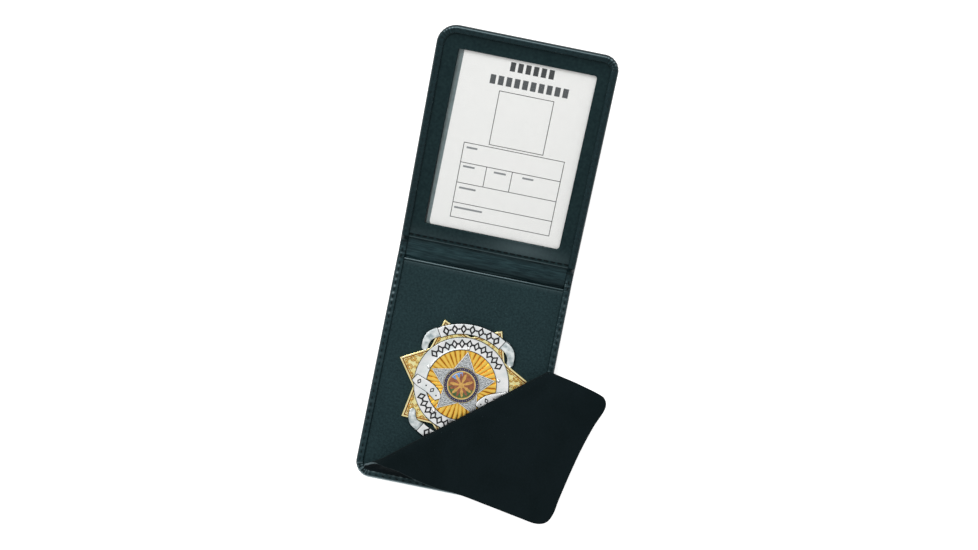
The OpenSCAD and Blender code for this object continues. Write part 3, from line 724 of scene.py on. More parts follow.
def coverPiece(name, placer, end, look, seed, leftRadius=wallet["cornerRadius"]):
    stations = rimStations(end, leftRadius)
    pitch = stations[-1][4] / round(stations[-1][4] / rim["pitch"])
    rings, count = rim["rings"], len(rim["rings"])
    points, paintedLightAndTone = [], []
    for x, y, nx, ny, s in stations:
        past = y - end + wallet["spine"] / 2
        share = rimShare(past)
        lift = look["lift"] * pucker(x, y, s, past, pitch, seed)
        gather = rim["gather"] * math.prod(gathers(x, y, s, seed))
        for k, ring in enumerate(rings):
            inset, high, low, weight = ring[:4]
            z = between(low, high, share)
            paintedLightAndTone.append(rimPaintedLightAndTone(ring, look, x, y, s, past, pitch, seed))
            if weight:
                before, after = rings[k - 1], rings[k + 1]
                out = Vector((after[1] - before[1], before[0] - after[0])).normalized()
                out *= lift * weight + gather * weight**0.4
                inset += out.x  # the ring's own way out is (-inset, z)
                z += abs(out.y) if lift * weight + gather * weight**0.4 > 0 else -abs(out.y)
            points.append(placer(x - nx * inset, y - ny * inset, z))
    faces = gridFaces(len(stations), count)
    columns, rows = rim["faceColumns"], len(stations) // 2
    for inset, z in (rings[0][:2], rings[-1][:2]):  # inner and outer face, from side to side
        start = len(points)
        for i in range(rows + 1):
            a, b = stations[i], stations[len(stations) - 1 - i]
            for j in range(columns + 1):
                t = j / columns
                points.append(placer(between(a[0] - a[2] * inset, b[0] - b[2] * inset, t),
                                     between(a[1] - a[3] * inset, b[1] - b[3] * inset, t), z))
        faces += [tuple(start + v for v in face) for face in gridFaces(rows + 1, columns + 1)]
    last = (len(stations) - 1) * count
    faces.append(tuple(range(count)) + tuple(last + k for k in reversed(range(count))))
    paintedLightAndTone += [0.0] * (len(points) - len(paintedLightAndTone))
    return newPiece(name, points, faces, coverLeather, "soft", paintedLightAndTone=paintedLightAndTone), stations, pitch


coverLower, lowerPath, lowerPitch = coverPiece("coverLower", place, badgeReach,
                                               rim["badgeHalf"], seed=1.3)
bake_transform(coverLower)
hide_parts("lower_cover", "lower_fold", "spine_cover")
coverUpper, upperPath, upperPitch = coverPiece("coverUpper", placeCardHalf, cardReach,
                                               rim["cardHalf"], seed=4.1,
                                               leftRadius=rim["cardCorner"])
upperFold = {"start": place(0, wallet["hinge"] + wallet["spine"] - wallet["foldTo"], 3),
             "end": place(0, wallet["hinge"] + wallet["spine"] - wallet["foldFrom"], 3)}
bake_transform(coverUpper)
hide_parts("upper_cover", "upper_fold")
print("covers made")


# A slab on a lattice of columns and rows: its sides follow reach(y), cells in a hole are left out
def latticeSlab(name, columns, rows, reach, heights, placer, materials, hole=None, paintedLightAndTone=None):
    wide, points, faces, look = len(columns), [], [], []
    for layer in (0, 1):
        for y in rows:
            left, right = reach(y)
            for t in columns:
                x = between(left, right, t)
                points.append(placer(x, y, heights(x, y)[layer]))
                look.append(paintedLightAndTone(x, y) if paintedLightAndTone else 0.0)
    size = len(points) // 2
    kept = set()
    for i in range(len(rows) - 1):
        y = (rows[i] + rows[i + 1]) / 2
        left, right = reach(y)
        for j in range(wide - 1):
            x = between(left, right, (columns[j] + columns[j + 1]) / 2)
            if not (hole and hole(x, y)):
                kept.add((i, j))
    for i, j in kept:
        a = i * wide + j
        b, c, d = a + 1, a + wide + 1, a + wide
        faces.append((a, d, c, b))
        faces.append((size + a, size + b, size + c, size + d))
        for other, p, q in (((i - 1, j), a, b), ((i + 1, j), c, d), ((i, j - 1), d, a),
                            ((i, j + 1), b, c)):
            if other not in kept:
                faces.append((p, q, size + q, size + p))
    return newPiece(name, points, faces, materials, "slab", paintedLightAndTone=look)


# The panel that carries the badge: its mouth is folded over and pressed, and the bright line along
# it is a painted highlight
panel = {
    "inset": 1.25,
    "bottom": 3.7,
    "top": 4.9,
    "waves": (0.1, 0.05),  # height and scale
    "mouthRound": 0.5,
    # by the distance from the folded mouth: the pressed line and the swell beside it, the painted
    # highlight strip along the mouth with how it fades to the right, and the painted shade line and
    # the faint painted highlight line beside that
    "relief": ((-0.18, 1.2, 0.16), (0.06, 0.55, 0.4)),
    "rubbed": {"pale": 0.62, "to": 0.52, "fade": 0.22, "lost": 0.6, "from": 8, "over": 26,
               "uneven": 0.3, "scale": 0.1},
    "lines": ((-0.6, 0.95, 0.22), (0.09, 1.5, 0.3)),
    "cell": 1.6,  # of the lattice, which is finer in the corners and near the mouth
    "cornerCell": 0.5,
    "mouthCell": 0.09,
    "mouthFrom": 102,
    "slotX": 15.0,
    "slotWide": 4.8,
    "slotHigh": 3.8,
    "badgeY": 50.7,
}


def panelReach(y):
    half = wallet["halfWidth"] - panel["inset"]
    half -= drawnIn(wallet["cornerRadius"] - panel["inset"], y - panel["inset"])
    return -half, half


def panelHeights(x, y):
    fromMouth = wallet["badgeHalf"] - y
    high, scale = panel["waves"]
    top = panel["top"] - high * (0.5 + noise.noise(Vector((x * scale, y * scale, 2.0))))
    top += marks(fromMouth, panel["relief"])
    low = drawnIn(panel["mouthRound"], fromMouth)
    return panel["bottom"] + low, top - low


# Painted light on the panel: a painted highlight strip along the mouth, fading to the right, then a
# painted shade line and a faint painted highlight line
def panelPaintedLight(x, y):
    fromMouth, rubbed = wallet["badgeHalf"] - y, panel["rubbed"]
    share = 1 - rubbed["lost"] * smooth((x - rubbed["from"]) / rubbed["over"])
    share *= 1 + rubbed["uneven"] * noise.noise(Vector((x * rubbed["scale"], 0, 1)))
    pale = rubbed["pale"] * smooth((rubbed["to"] - fromMouth) / rubbed["fade"]) * share
    return pale + marks(fromMouth, panel["lines"])


def inSlot(x, y):
    return (abs(abs(x) - panel["slotX"]) < panel["slotWide"] / 2
            and abs(y - panel["badgeY"]) < panel["slotHigh"] / 2)


slotEdges = [side * panel["slotX"] + half * panel["slotWide"] / 2 for side in (-1, 1)
             for half in (-1, 1)]
panelHalf = wallet["halfWidth"] - panel["inset"]
acrossPanel = sorted(set(steps(-panelHalf, panelHalf, panel["cell"]) + slotEdges))
slotRows = [panel["badgeY"] - panel["slotHigh"] / 2, panel["badgeY"] + panel["slotHigh"] / 2]
upPanel = sorted(set(steps(panel["inset"], wallet["cornerRadius"], panel["cornerCell"])
                     + steps(wallet["cornerRadius"], panel["mouthFrom"], panel["cell"])
                     + steps(panel["mouthFrom"], wallet["badgeHalf"], panel["mouthCell"])
                     + slotRows))
badgePanel = latticeSlab("badgePanel", [0.5 + x / (2 * panelHalf) for x in acrossPanel], upPanel,
                         panelReach, panelHeights, place, panelLeather, inSlot, panelPaintedLight)
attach(badgePanel, "badge_half")
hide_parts("badge_panel", "panel_hem")
print("panel made")

# The glossy band in the spine, in two parts that meet in its middle, creased across; painted
# shade from the mouth beside it keeps part of it dark, most of all from the middle to the right
band = {"past": 0.65, "bottom": 1.25, "top": 2.4, "side": 37.7, "deep": 0.3,
        # creases: share of the depth, scale across and along the wallet, and seed
        "middle": 0.3, "creases": ((0.6, 0.07, 1.15, 0), (0.28, 0.16, 2.6, 3)),
        "shade": {"dark": 0.62, "from": 0.5, "over": 5.5, "fromX": -36, "overX": 30},
        "columnShare": 0.012, "row": 0.2}


def bandHeights(seed):
    def heights(x, y):
        dip = band["middle"]
        for share, across, along, other in band["creases"]:
            dip += share * noise.noise(Vector((x * across, y * along, seed + other)))
        return band["bottom"], band["top"] - band["deep"] * dip
    return heights


# Painted shade from the panel's mouth, with a faint random tone
def bandPaintedShadeAndTone(x, y):
    fromMouth = y - wallet["badgeHalf"]
    shade = band["shade"]
    dark = shade["dark"] * (1 - smooth((fromMouth - shade["from"]) / shade["over"]))
    dark *= smooth((x - shade["fromX"]) / shade["overX"])
    return -dark + 0.05 * noise.noise(Vector((x * 0.15, y * 1.4, 6.0)))


for name, placer, end in (("spineBandLower", place, badgeReach),
                          ("spineBandUpper", placeCardHalf, cardReach)):
    start = end - wallet["spine"] / 2 + band["past"]
    strip = latticeSlab(name, steps(0, 1, band["columnShare"]), steps(start, end, band["row"]),
                        lambda y: (-band["side"], band["side"]), bandHeights(end), placer,
                        spineLeather, paintedLightAndTone=bandPaintedShadeAndTone if placer is place else None)
    if placer is place:
        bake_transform(strip)
    else:
        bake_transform(strip)
    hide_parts("spine_lining")
print("spine band made")

# The leather frame round the card's window, its edges turned in
frameSizes = {
    "window": (-31.05, 10.4, 32.45, 94.2),
    # how far the window's left and right side and the card's left side stand to the right of the
    # box, at the outer end and at the window's lower end
    "lean": {"left": (0.57, -0.6), "right": (0.0, -0.6), "card": (0.88, -0.6)},
    "windowRadii": (0.5, 1.3, 1.5, 0.8),
    "outer": (-40.0, 1.25, 40.0, wallet["cardHalf"]),
    "outerRadii": (6.05, 6.05, 0.02, 0.02),
    "bottom": 3.72,
    "top": 4.9,
    "round": 0.6,
    "perSide": (40, 44),
    "perCorner": 8,
    "waves": (0.1, 0.07),  # height and scale
    # by the distance from the lower edge: its rounding and how far that drops, a groove past it, a
    # painted highlight on the edge with painted shade in the groove, and a painted sheen patch by
    # (strength, x, width, distance, width)
    "edgeRound": 0.5,
    "edgeDrop": 0.3,
    "groove": ((-0.22, 0.95, 0.25),),
    "lines": ((0.09, 0.2, 0.4), (-0.4, 0.95, 0.25)),
    "patch": (0.13, 16, 14, 5, 4),
    "ends": (0.05, 0.5, 9),  # painted sheen paler towards the lower edge, darker towards the outer end, over what
}


# Points round a rectangle with rounded corners, the same number whatever its size
def roundedPath(box, radii):
    x0, y0, x1, y1 = box
    perSide, perCorner = frameSizes["perSide"], frameSizes["perCorner"]
    points = []
    for k, (cx, cy) in enumerate(((x0, y0), (x1, y0), (x1, y1), (x0, y1))):
        r = radii[k]
        mx, my = cx + (r if cx == x0 else -r), cy + (r if cy == y0 else -r)
        for i in range(perCorner + 1):
            turn = math.pi * (1 + k / 2) + math.pi / 2 * i / perCorner
            points.append((mx + r * math.cos(turn), my + r * math.sin(turn)))
        nx, ny = ((x1, y0), (x1, y1), (x0, y1), (x0, y0))[k]
        after = radii[(k + 1) % 4]
        ends = points[-1], ((nx - after, ny), (nx, ny - after), (nx + after, ny),
                            (nx, ny + after))[k]
        count = perSide[k % 2]
        points += [(between(ends[0][0], ends[1][0], i / count),
                    between(ends[0][1], ends[1][1], i / count)) for i in range(1, count)]
    return points


def lean(side, y):
    return between(*frameSizes["lean"][side], y / frameSizes["window"][3])


def windowFramePiece():
    left, _, right, _ = frameSizes["window"]
    inner = [(x + between(lean("left", y), lean("right", y), (x - left) / (right - left)), y)
             for x, y in roundedPath(frameSizes["window"], frameSizes["windowRadii"])]
    outer = roundedPath(frameSizes["outer"], frameSizes["outerRadii"])
    low, high, soft = frameSizes["bottom"], frameSizes["top"], frameSizes["round"]
    profile = [(1.0, 0, low), (0.0, 0, low)]
    profile += [(0.0, soft * (1 - math.cos(t)), high - soft + soft * math.sin(t))
                for t in steps(0, math.pi / 2, math.pi / 10)]
    profile += [(share, soft, high) for share in (0.12, 0.25, 0.4, 0.55, 0.7, 0.85, 0.96)]
    profile += [(1.0, 0, high)]
    points, paintedLightAndTone = [], []
    waves, scale = frameSizes["waves"]
    pale, patchX, patchWide, patchFrom, patchOver = frameSizes["patch"]
    lowerPale, outerDark, over = frameSizes["ends"]
    for (ix, iy), (ox, oy) in zip(inner, outer):
        length = math.hypot(ox - ix, oy - iy)
        for share, past, z in profile:
            t = share + (1 - share) * past / length if share < 1 else 1.0
            x, y = between(ix, ox, t), between(iy, oy, t)
            fromEdge = frameSizes["outer"][3] - y
            if z == high and share < 1:
                z -= waves * (0.5 + noise.noise(Vector((x * scale, y * scale, 7.0))))
            if z > low:
                if fromEdge > frameSizes["edgeRound"]:
                    z += marks(fromEdge, frameSizes["groove"])
                z -= frameSizes["edgeDrop"] * smooth(1 - fromEdge / frameSizes["edgeRound"])
            points.append(placeCardHalf(x, y, z))
            # painted light: a highlight on the lower edge, shade in the groove, sheen towards the
            # lower edge and in a patch, darker towards the outer end
            paintedLightAndTone.append(marks(fromEdge, frameSizes["lines"])
                        + lowerPale * (1 - smooth(fromEdge / over))
                        - outerDark * (1 - smooth(y / over))
                        + pale * bell(x, patchX, patchWide) * bell(fromEdge, patchFrom, patchOver))
    faces = gridFaces(len(inner), len(profile), closeRows=True, closeColumns=True)
    return newPiece("windowFrame", points, faces, frameLeather, "slab", paintedLightAndTone=paintedLightAndTone)


windowFrame = windowFramePiece()
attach(windowFrame, "card_half")
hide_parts("window_frame")
print("window frame made")

# The card, as it lies in its pocket, very slightly askew with the window
card = {"box": (-28.95, 6.2, 34.55, 95.1), "radius": 2.6, "bottom": 2.6, "top": 3.36,
        "cornerRow": 0.26, "row": 8, "columnShare": 0.1}


def cardReachAt(y):
    x0, y0, x1, y1 = card["box"]
    drawn = drawnIn(card["radius"], min(y - y0, y1 - y))
    return x0 + drawn + lean("card", y), x1 - drawn + lean("right", y)


cardEnds = steps(0, card["radius"], card["cornerRow"])
cardRows = [card["box"][1] + y for y in cardEnds]
cardRows += steps(cardRows[-1], card["box"][3] - card["radius"], card["row"])[1:]
cardRows += [card["box"][3] - y for y in reversed(cardEnds[:-1])]
idCard = latticeSlab("idCard", steps(0, 1, card["columnShare"]), cardRows, cardReachAt,
                     lambda x, y: (card["bottom"], card["top"]), placeCardHalf, cardStock)
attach(idCard, "card")
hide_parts("id_card")
print("card made")

# The card half's board and its lining, whose outer left corner is as round as the cover's
board = {"inset": 1.25, "end": 97.7, "bottom": 1.2, "top": 1.9, "cornerRow": 0.4,
         "columnShare": 0.1}
backing = {"end": 100.2, "top": 2.4}


def boardReach(y):
    half = wallet["halfWidth"] - board["inset"]
    left, right = (drawnIn(radius - board["inset"], y - board["inset"])
                   for radius in (rim["cardCorner"], wallet["cornerRadius"]))
    return left - half, half - right


def innerLayer(name, end, bottom, top, material):
    rows = [board["inset"] + y for y in steps(0, rim["cardCorner"], board["cornerRow"])] + [end]
    layer = latticeSlab(name, steps(0, 1, board["columnShare"]), rows, boardReach,
                        lambda x, y: (bottom, top), placeCardHalf, material)
    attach(layer, "card_half")
    return layer


upperBoard = innerLayer("upperBoard", board["end"], board["bottom"], board["top"], greyBoard)
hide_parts("upper_board")
cardBacking = innerLayer("cardBacking", backing["end"], board["top"], backing["top"], liningCloth)
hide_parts("card_backing")
print("board and backing made")

# Form printed on the card: a ruled table, an empty box above it, two rows of heading bars, and
# pale bars as labels; x from the middle, y from the card half's outer end
form = {
    "height": 3.375,
    "table": (-20.6, 52.7, 26.0, 88.9),
    "rows": (62.2, 72.0, 81.7),
    "columns": (-8.35, 3.65),
    "box": (-9.3, 26.0, 15.7, 51.5),
    "line": 0.32,
    "title": ((-6.6, 11.9, 13.4, 16.2), 6),  # with the number of its bars
    "second": ((-14.5, 19.1, 21.3, 23.4), 10),
    "barGap": 0.28,  # share of the row's height
    "labels": ((-19.1, 54.4, -14.1, 55.3), (-19.1, 63.5, -13.7, 64.4), (-4.7, 63.6, 0.9, 64.5),
               (8.6, 63.6, 13.8, 64.5), (-19.1, 73.9, -11.3, 74.8), (-19.6, 83.6, -6.5, 84.5)),
}


def printedBars(name, boxes, material):
    points, faces = [], []
    for x0, y0, x1, y1 in boxes:
        start = len(points)
        points += [placeCardHalf(x, y, form["height"]) for x, y in
                   ((x0, y0), (x0, y1), (x1, y1), (x1, y0))]
        faces.append(tuple(range(start, start + 4)))
    mesh = bpy.data.meshes.new(name)
    mesh.from_pydata(points, [], faces)
    mesh.materials.append(material)
    bars = addObject(name, mesh)
    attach(bars, "card")


def ruledBoxes():
    half = form["line"] / 2
    boxes = []
    for x0, y0, x1, y1 in (form["table"], form["box"]):
        boxes += [(x0 - half, y - half, x1 + half, y + half) for y in (y0, y1)]
        boxes += [(x - half, y0, x + half, y1) for x in (x0, x1)]
    x0, y0, x1, y1 = form["table"]
    boxes += [(x0, y - half, x1, y + half) for y in form["rows"]]
    boxes += [(x - half, form["rows"][0], x + half, form["rows"][1]) for x in form["columns"]]
    return boxes


# A row of bars with small gaps between them
def barRow(box, count):
    x0, y0, x1, y1 = box
    gap = form["barGap"] * (y1 - y0)
    wide = (x1 - x0 - gap * (count - 1)) / count
    return [(x0 + i * (wide + gap), y0, x0 + i * (wide + gap) + wide, y1) for i in range(count)]


printedBars("cardRules", ruledBoxes(), ruleInk)
printedBars("cardTitle", barRow(*form["title"]), titleInk)
printedBars("cardSecondLine", barRow(*form["second"]), lineInk)
printedBars("cardLabels", form["labels"], labelInk)
print("card print made")

# Finishes of the solids that keep their own shape
cadFinishes = {
    "lower_board": greyBoard, "lower_lining": liningCloth, "lower_welt": liningCloth,
    "upper_welt": liningCloth, "pin_joint": pinSteel, "pin_stem": pinSteel,
    "safety_catch": pinSteel, "star_beads": silverPlate, "card_sleeve": smokyVinyl,
    "clear_window": clearVinyl,
}
for node, material in cadFinishes.items():
    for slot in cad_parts[node].material_slots:
        slot.material = material

# The flap: one soft sheet, sewn along the bottom edge, its corner rolled back over itself.
# Along a runs the fold, q is the distance across it in the flat sheet
flap = {
    "start": (-33.3, -48.4),  # where the fold meets the seam
    "angle": 39.0,
    "seamX": 36.9,
    "bottom": 5.4,  # middle of the leather at the seam
    "level": 9.35,
    "climb": 6.0,
    "radius": 2.55,
    "endRadius": 3.4,  # the roll is widest at its left end
    "endLength": 9.0,  # and has its usual radius past this length
    "droop": 1.5,
    "thick": 0.9,
    # the free edge, from the fold's right end round to the seam's left end: along, across
    "edge": ((97.0, 8.0), (101.7, 13.6), (104.8, 17.6), (109.7, 24.3), (111.5, 28.3), (109.3, 32.5),
             (100.6, 37.4), (88.6, 45.7), (72.8, 58.3), (66.0, 64.2), (61.2, 66.2), (56.5, 64.4),
             (50.9, 58.3), (41.2, 47.1), (31.4, 36.0), (24.2, 29.4), (17.0, 21.0), (12.1, 14.2),
             (9.6, 11.3), (6.9, 8.7), (4.7, 6.9), (2.2, 5.7), (0.0, 5.0), (-1.6, 3.9)),
    "paleEdge": (0.2, 26, 6),  # painted highlight on the cut edge at the roll's end, how far it goes, its fade
    "area": 6545,  # one face of the flat sheet, its corners rounded, in square millimetres
    "column": 0.75,
    "row": 0.8,
    "curveSteps": 6,  # between two points of the free edge
    "tip": (6, 14),  # the right tip's last millimetres, and its columns, which get ever closer
    "wave": (0.35, 0.035, 15),  # height and scale of the peeled part's waves, and where they start
}
foldAlong = (math.cos(math.radians(flap["angle"])), math.sin(math.radians(flap["angle"])))


def toFold(x, y):
    dx, dy = x - flap["start"][0], y - flap["start"][1]
    return dx * foldAlong[0] + dy * foldAlong[1], dy * foldAlong[0] - dx * foldAlong[1]


# Height of the first crossing of a polyline at a, or None past its ends
def crossing(line, a):
    for (a0, q0), (a1, q1) in zip(line, line[1:]):
        if a0 != a1 and min(a0, a1) - 1e-6 <= a <= max(a0, a1) + 1e-6:
            return between(q0, q1, (a - a0) / (a1 - a0))
    return None


# The sheet's lower and upper edge, each running one way along the fold
def flapOutline():
    seamLeft, seamRight = (toFold(side * flap["seamX"], flap["start"][1]) for side in (-1, 1))
    foldEnd = (seamRight[0] - seamRight[1] * foldAlong[1] / foldAlong[0], 0.0)
    free = curveThrough([foldEnd, *flap["edge"], seamLeft], flap["curveSteps"])
    tip = max(range(len(free)), key=lambda k: free[k][0])
    return [seamLeft, seamRight] + free[: tip + 1], free[tip:]


# The sheet climbs from the seam on to the badge
def flapLevel(y):
    return between(flap["bottom"], flap["level"], smooth(y / flap["climb"]))


def flapPoint(a, q):
    fold = max(0.0, -a * foldAlong[1] / foldAlong[0])
    radius = between(flap["endRadius"], flap["radius"], smooth((a + 1) / flap["endLength"]))
    if q <= fold:
        b, z = q, flapLevel(a * foldAlong[1] + q * foldAlong[0])
    else:
        base = flapLevel(a * foldAlong[1] + fold * foldAlong[0])
        arc = (q - fold) / radius
        if arc < math.pi:
            b, z = fold + radius * math.sin(arc), base + radius * (1 - math.cos(arc))
        else:
            past = q - fold - math.pi * radius
            b, z = fold - past, base + 2 * radius - past * math.tan(math.radians(flap["droop"]))
            high, scale, over = flap["wave"]
            z += high * noise.noise(Vector((a * scale, past * scale, 9.0))) * smooth(past / over)
    x = flap["start"][0] + a * foldAlong[0] - b * foldAlong[1]
    y = flap["start"][1] + a * foldAlong[1] + b * foldAlong[0]
    return (x * mm, y * mm, z * mm)


def flapSheet():
    lower, upper = flapOutline()
    first, last = lower[0][0], lower[-1][0]
    length, columns = flap["tip"]
    stations = steps(first, last - length, flap["column"])
    stations += [last - length * (1 - i / columns) ** 2 for i in range(1, columns + 1)]
    longest = max(crossing(upper, a) - crossing(lower, a) for a in stations[1:-1])
    count = round(longest / flap["row"])
    points, paintedLightAndTone = [], []
    pale, reach, fade = flap["paleEdge"]
    for a in stations:
        q0, q1 = crossing(lower, a), crossing(upper, a)
        q0, q1 = (q0 if q0 is not None else q1), (q1 if q1 is not None else q0)
        points += [flapPoint(a, between(q0, q1, i / count)) for i in range(count + 1)]
        # the free edge's last row gets a painted highlight near the roll's end
        paintedLightAndTone += [0.0] * count + [pale * (1 - smooth((a - reach) / fade))]
    mesh = bpy.data.meshes.new("flapSheet")
    faces = [tuple(reversed(face)) for face in gridFaces(len(stations), count + 1)]
    mesh.from_pydata(points, [], faces)
    mesh.attributes.new("paintedLightAndTone", "FLOAT", "POINT").data.foreach_set("value", paintedLightAndTone)
    shape = bmesh.new()
    shape.from_mesh(mesh)
    bmesh.ops.remove_doubles(shape, verts=shape.verts, dist=4e-6)
    shape.to_mesh(mesh)
    shape.free()
    sheet = addObject("flapSheet", mesh)
    finishMesh(sheet, [flapLeather, flapSuede, rawEdge], "never")
    wall = sheet.modifiers.new("wall", "SOLIDIFY")
    wall.thickness = flap["thick"] * mm
    wall.offset = 0
    wall.material_offset, wall.material_offset_rim = 1, 2
    return bakeModifiers(sheet)


flapPiece = flapSheet()
print("flap measures", [round(c, 4) for c in flapPiece.dimensions],
      round(sum(face.area for face in flapPiece.data.polygons) / 2, 6))
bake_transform(flapPiece)
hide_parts("flap_lower_leather", "flap_lower_suede", "flap_roll", "flap_upper_leather",
            "flap_upper_suede")
print("flap made")

# Black stitches in the dips between the puckers, and the row beside the frame's lower edge
stitches = {"Length": 1.7 * mm, "Thread": 0.24 * mm, "Arch": 0.16 * mm}
thickStitches = {"Length": 2.1 * mm, "Thread": 0.34 * mm, "Arch": 0.16 * mm}
stitchLevel = {"half": 5.8, "spine": 3.22, "frame": 4.72}
frameSeam = {"fromEdge": 1.7, "side": 36.8}


def stitchStands(stations, pitch, placer, end):
    stands, k, inset = [], 0, rim["stitchInset"]
    for index in range(round(stations[-1][4] / pitch)):
        s = (index + 0.5) * pitch
        while stations[k + 1][4] < s:
            k += 1
        a, b = stations[k], stations[k + 1]
        t = (s - a[4]) / (b[4] - a[4])
        x, y, nx, ny = (between(a[i], b[i], t) for i in range(4))
        z = between(stitchLevel["spine"], stitchLevel["half"],
                    rimShare(y - end + wallet["spine"] / 2))
        stands.append(standOn(placer, x - nx * inset, y - ny * inset, z, -ny * 0.1, nx * 0.1))
    return stands


lowerRow = stitchStands(lowerPath, lowerPitch, place, badgeReach)
lowerStitches = repeatedPiece("lowerStitches", lowerRow, stitches, threadLoop, waxedThread)
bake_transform(lowerStitches)
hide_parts("lower_edge_stitches", "spine_stitches")
upperRow = stitchStands(upperPath, upperPitch, placeCardHalf, cardReach)
upperStitches = repeatedPiece("upperStitches", upperRow, stitches, threadLoop, wornThread)
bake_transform(upperStitches)
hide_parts("upper_edge_stitches", "spine_stitches")
rowY = wallet["cardHalf"] - frameSeam["fromEdge"]
frameRow = [standOn(placeCardHalf, x, rowY, stitchLevel["frame"], 0.1, 0.0)
            for x in steps(-frameSeam["side"], frameSeam["side"], rim["pitch"])]
frameStitches = repeatedPiece("frameStitches", frameRow, thickStitches, threadLoop, waxedThread)
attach(frameStitches, "card_half")
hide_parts("frame_stitches")
print("stitches made")

# The badge: every piece is worked out from its centre, by radius and angle
badge = {
    "centreY": panel["badgeY"],
    "points": 7,
    "first": -90,  # a point of the star stands straight down
    "tip": 31.5,
    "valley": 22.6,
    "innerTip": 15.9,
    "innerValley": 8.5,
    "perEdge": 8,
}


def onBadge(x, y, z):
    return place(x, y + badge["centreY"], z)


def polar(radius, degrees):
    return radius * math.cos(math.radians(degrees)), radius * math.sin(math.radians(degrees))


def badgePiece(piece, slot, *nodes):
    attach(piece, "badge_half")
    if nodes:
        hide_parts(*nodes)


# A star's outline drawn in by an inset, each edge cut into the same number of steps
def starLoop(points, tip, valley, first, inset):
    corners = [polar(tip if k % 2 == 0 else valley, first + 180 * k / points)
               for k in range(2 * points)]
    if inset:
        moved = []
        for k, (x, y) in enumerate(corners):
            (ax, ay), (bx, by) = corners[k - 1], corners[(k + 1) % len(corners)]
            n1 = Vector((-(y - ay), x - ax)).normalized()  # inwards, as the loop runs leftwards
            n2 = Vector((-(by - y), bx - x)).normalized()
            middle = (n1 + n2).normalized()
            reach = inset / max(0.2, middle.dot(n1))
            moved.append((x + middle.x * reach, y + middle.y * reach))
        corners = moved
    loop, perEdge = [], badge["perEdge"]
    for k, (x, y) in enumerate(corners):
        bx, by = corners[(k + 1) % len(corners)]
        loop += [(between(x, bx, i / perEdge), between(y, by, i / perEdge))
                 for i in range(perEdge)]
    return loop


# A solid star: loops of (inset, height) from the underside up and in, then a flat middle; kinds
# says which material the faces from a loop to the next have, where it isn't the first
def starPiece(name, points, tip, valley, first, loops, middle, materials, kinds):
    rows = [[(*p, z) for p in starLoop(points, tip, valley, first, inset)]
            for inset, z in ((0, loops[0][1]), *loops)]
    flat = loops[-1][1]
    for share in (0.3, 0.65, 1.0):  # the flat top, row by row in to a circle
        rows.append([])
        for x, y, _ in rows[len(loops)]:
            toward = middle / math.hypot(x, y)
            rows[-1].append((between(x, x * toward, share), between(y, y * toward, share), flat))
    size = len(rows[0])
    verts = [onBadge(*p) for row in rows for p in row]
    faces = gridFaces(len(rows), size, closeColumns=True)
    faceKinds = [kinds.get(index // size, 0) for index in range(len(faces))]
    for row, z in ((0, loops[0][1]), (len(rows) - 1, flat)):
        verts.append(onBadge(0, 0, z))
        faces += [(row * size + k, row * size + (k + 1) % size, len(verts) - 1)
                  for k in range(size)]
        faceKinds += [0] * size
    return newPiece(name, verts, faces, materials, "metal", faceKinds)


# The gold star: side, bright border, brown groove, a thin bead, a second groove, face
plateLoops = ((0.0, 4.95), (0.0, 6.05), (0.12, 6.2), (0.35, 6.27), (0.8, 6.22), (0.95, 5.95),
              (1.25, 5.9), (1.35, 5.98), (1.75, 5.98), (1.85, 5.9), (2.0, 5.88))
starPlate = starPiece("starPlate", badge["points"], badge["tip"], badge["valley"], badge["first"],
                      plateLoops, 15.0, [goldPlate, goldEdge, goldShade],
                      {2: 1, 3: 1, 4: 1, 5: 2, 6: 2, 9: 2, 10: 2})
badgePiece(starPlate, "gold_plate", "star_plate")

# Scrolls in relief on the star's points, in pairs by radius, distance to the side, and size, which
# multiplies the sizes of the coil
scroll = {"Bore": 0.3, "Reach": 1.0, "Wire": 0.16}
scrollLevel = 5.95
scrollPlaces = ((25.6, 2.1, 1.5), (23.6, 5.3, 1.35), (27.7, 0.75, 0.75), (23.2, 1.3, 0.8))


def scrollShape(tree, given):
    coil = addNode(tree, "GeometryNodeCurveSpiral",
                   {"Resolution": 12, "Rotations": 1.6, "Start Radius": given["Bore"],
                    "End Radius": given["Reach"], "Height": 0.0})
    return wireAlong(tree, coil.outputs[0], given["Wire"])


def scrollStands():
    stands = []
    for k in range(badge["points"]):
        turn = badge["first"] + 360 * k / badge["points"]
        ux, uy = polar(1.0, turn)
        for radius, aside, size in scrollPlaces:
            for side in (-1, 1):
                x, y = radius * ux - side * aside * uy, radius * uy + side * aside * ux
                here, ahead, above, _ = standOn(onBadge, x, y, scrollLevel, ux, uy)
                stands.append((here, ahead, above * side, (size * mm, size * mm, size * mm)))
    return stands


scrolls = repeatedPiece("starScrolls", scrollStands(), scroll, scrollShape, goldRelief)
badgePiece(scrolls, "gold_plate")

# The sunburst behind the inner star: tapered ribs side by side
rays = {"count": 40, "from": 7.6, "to": 16.1, "base": 6.46, "rise": 0.1}


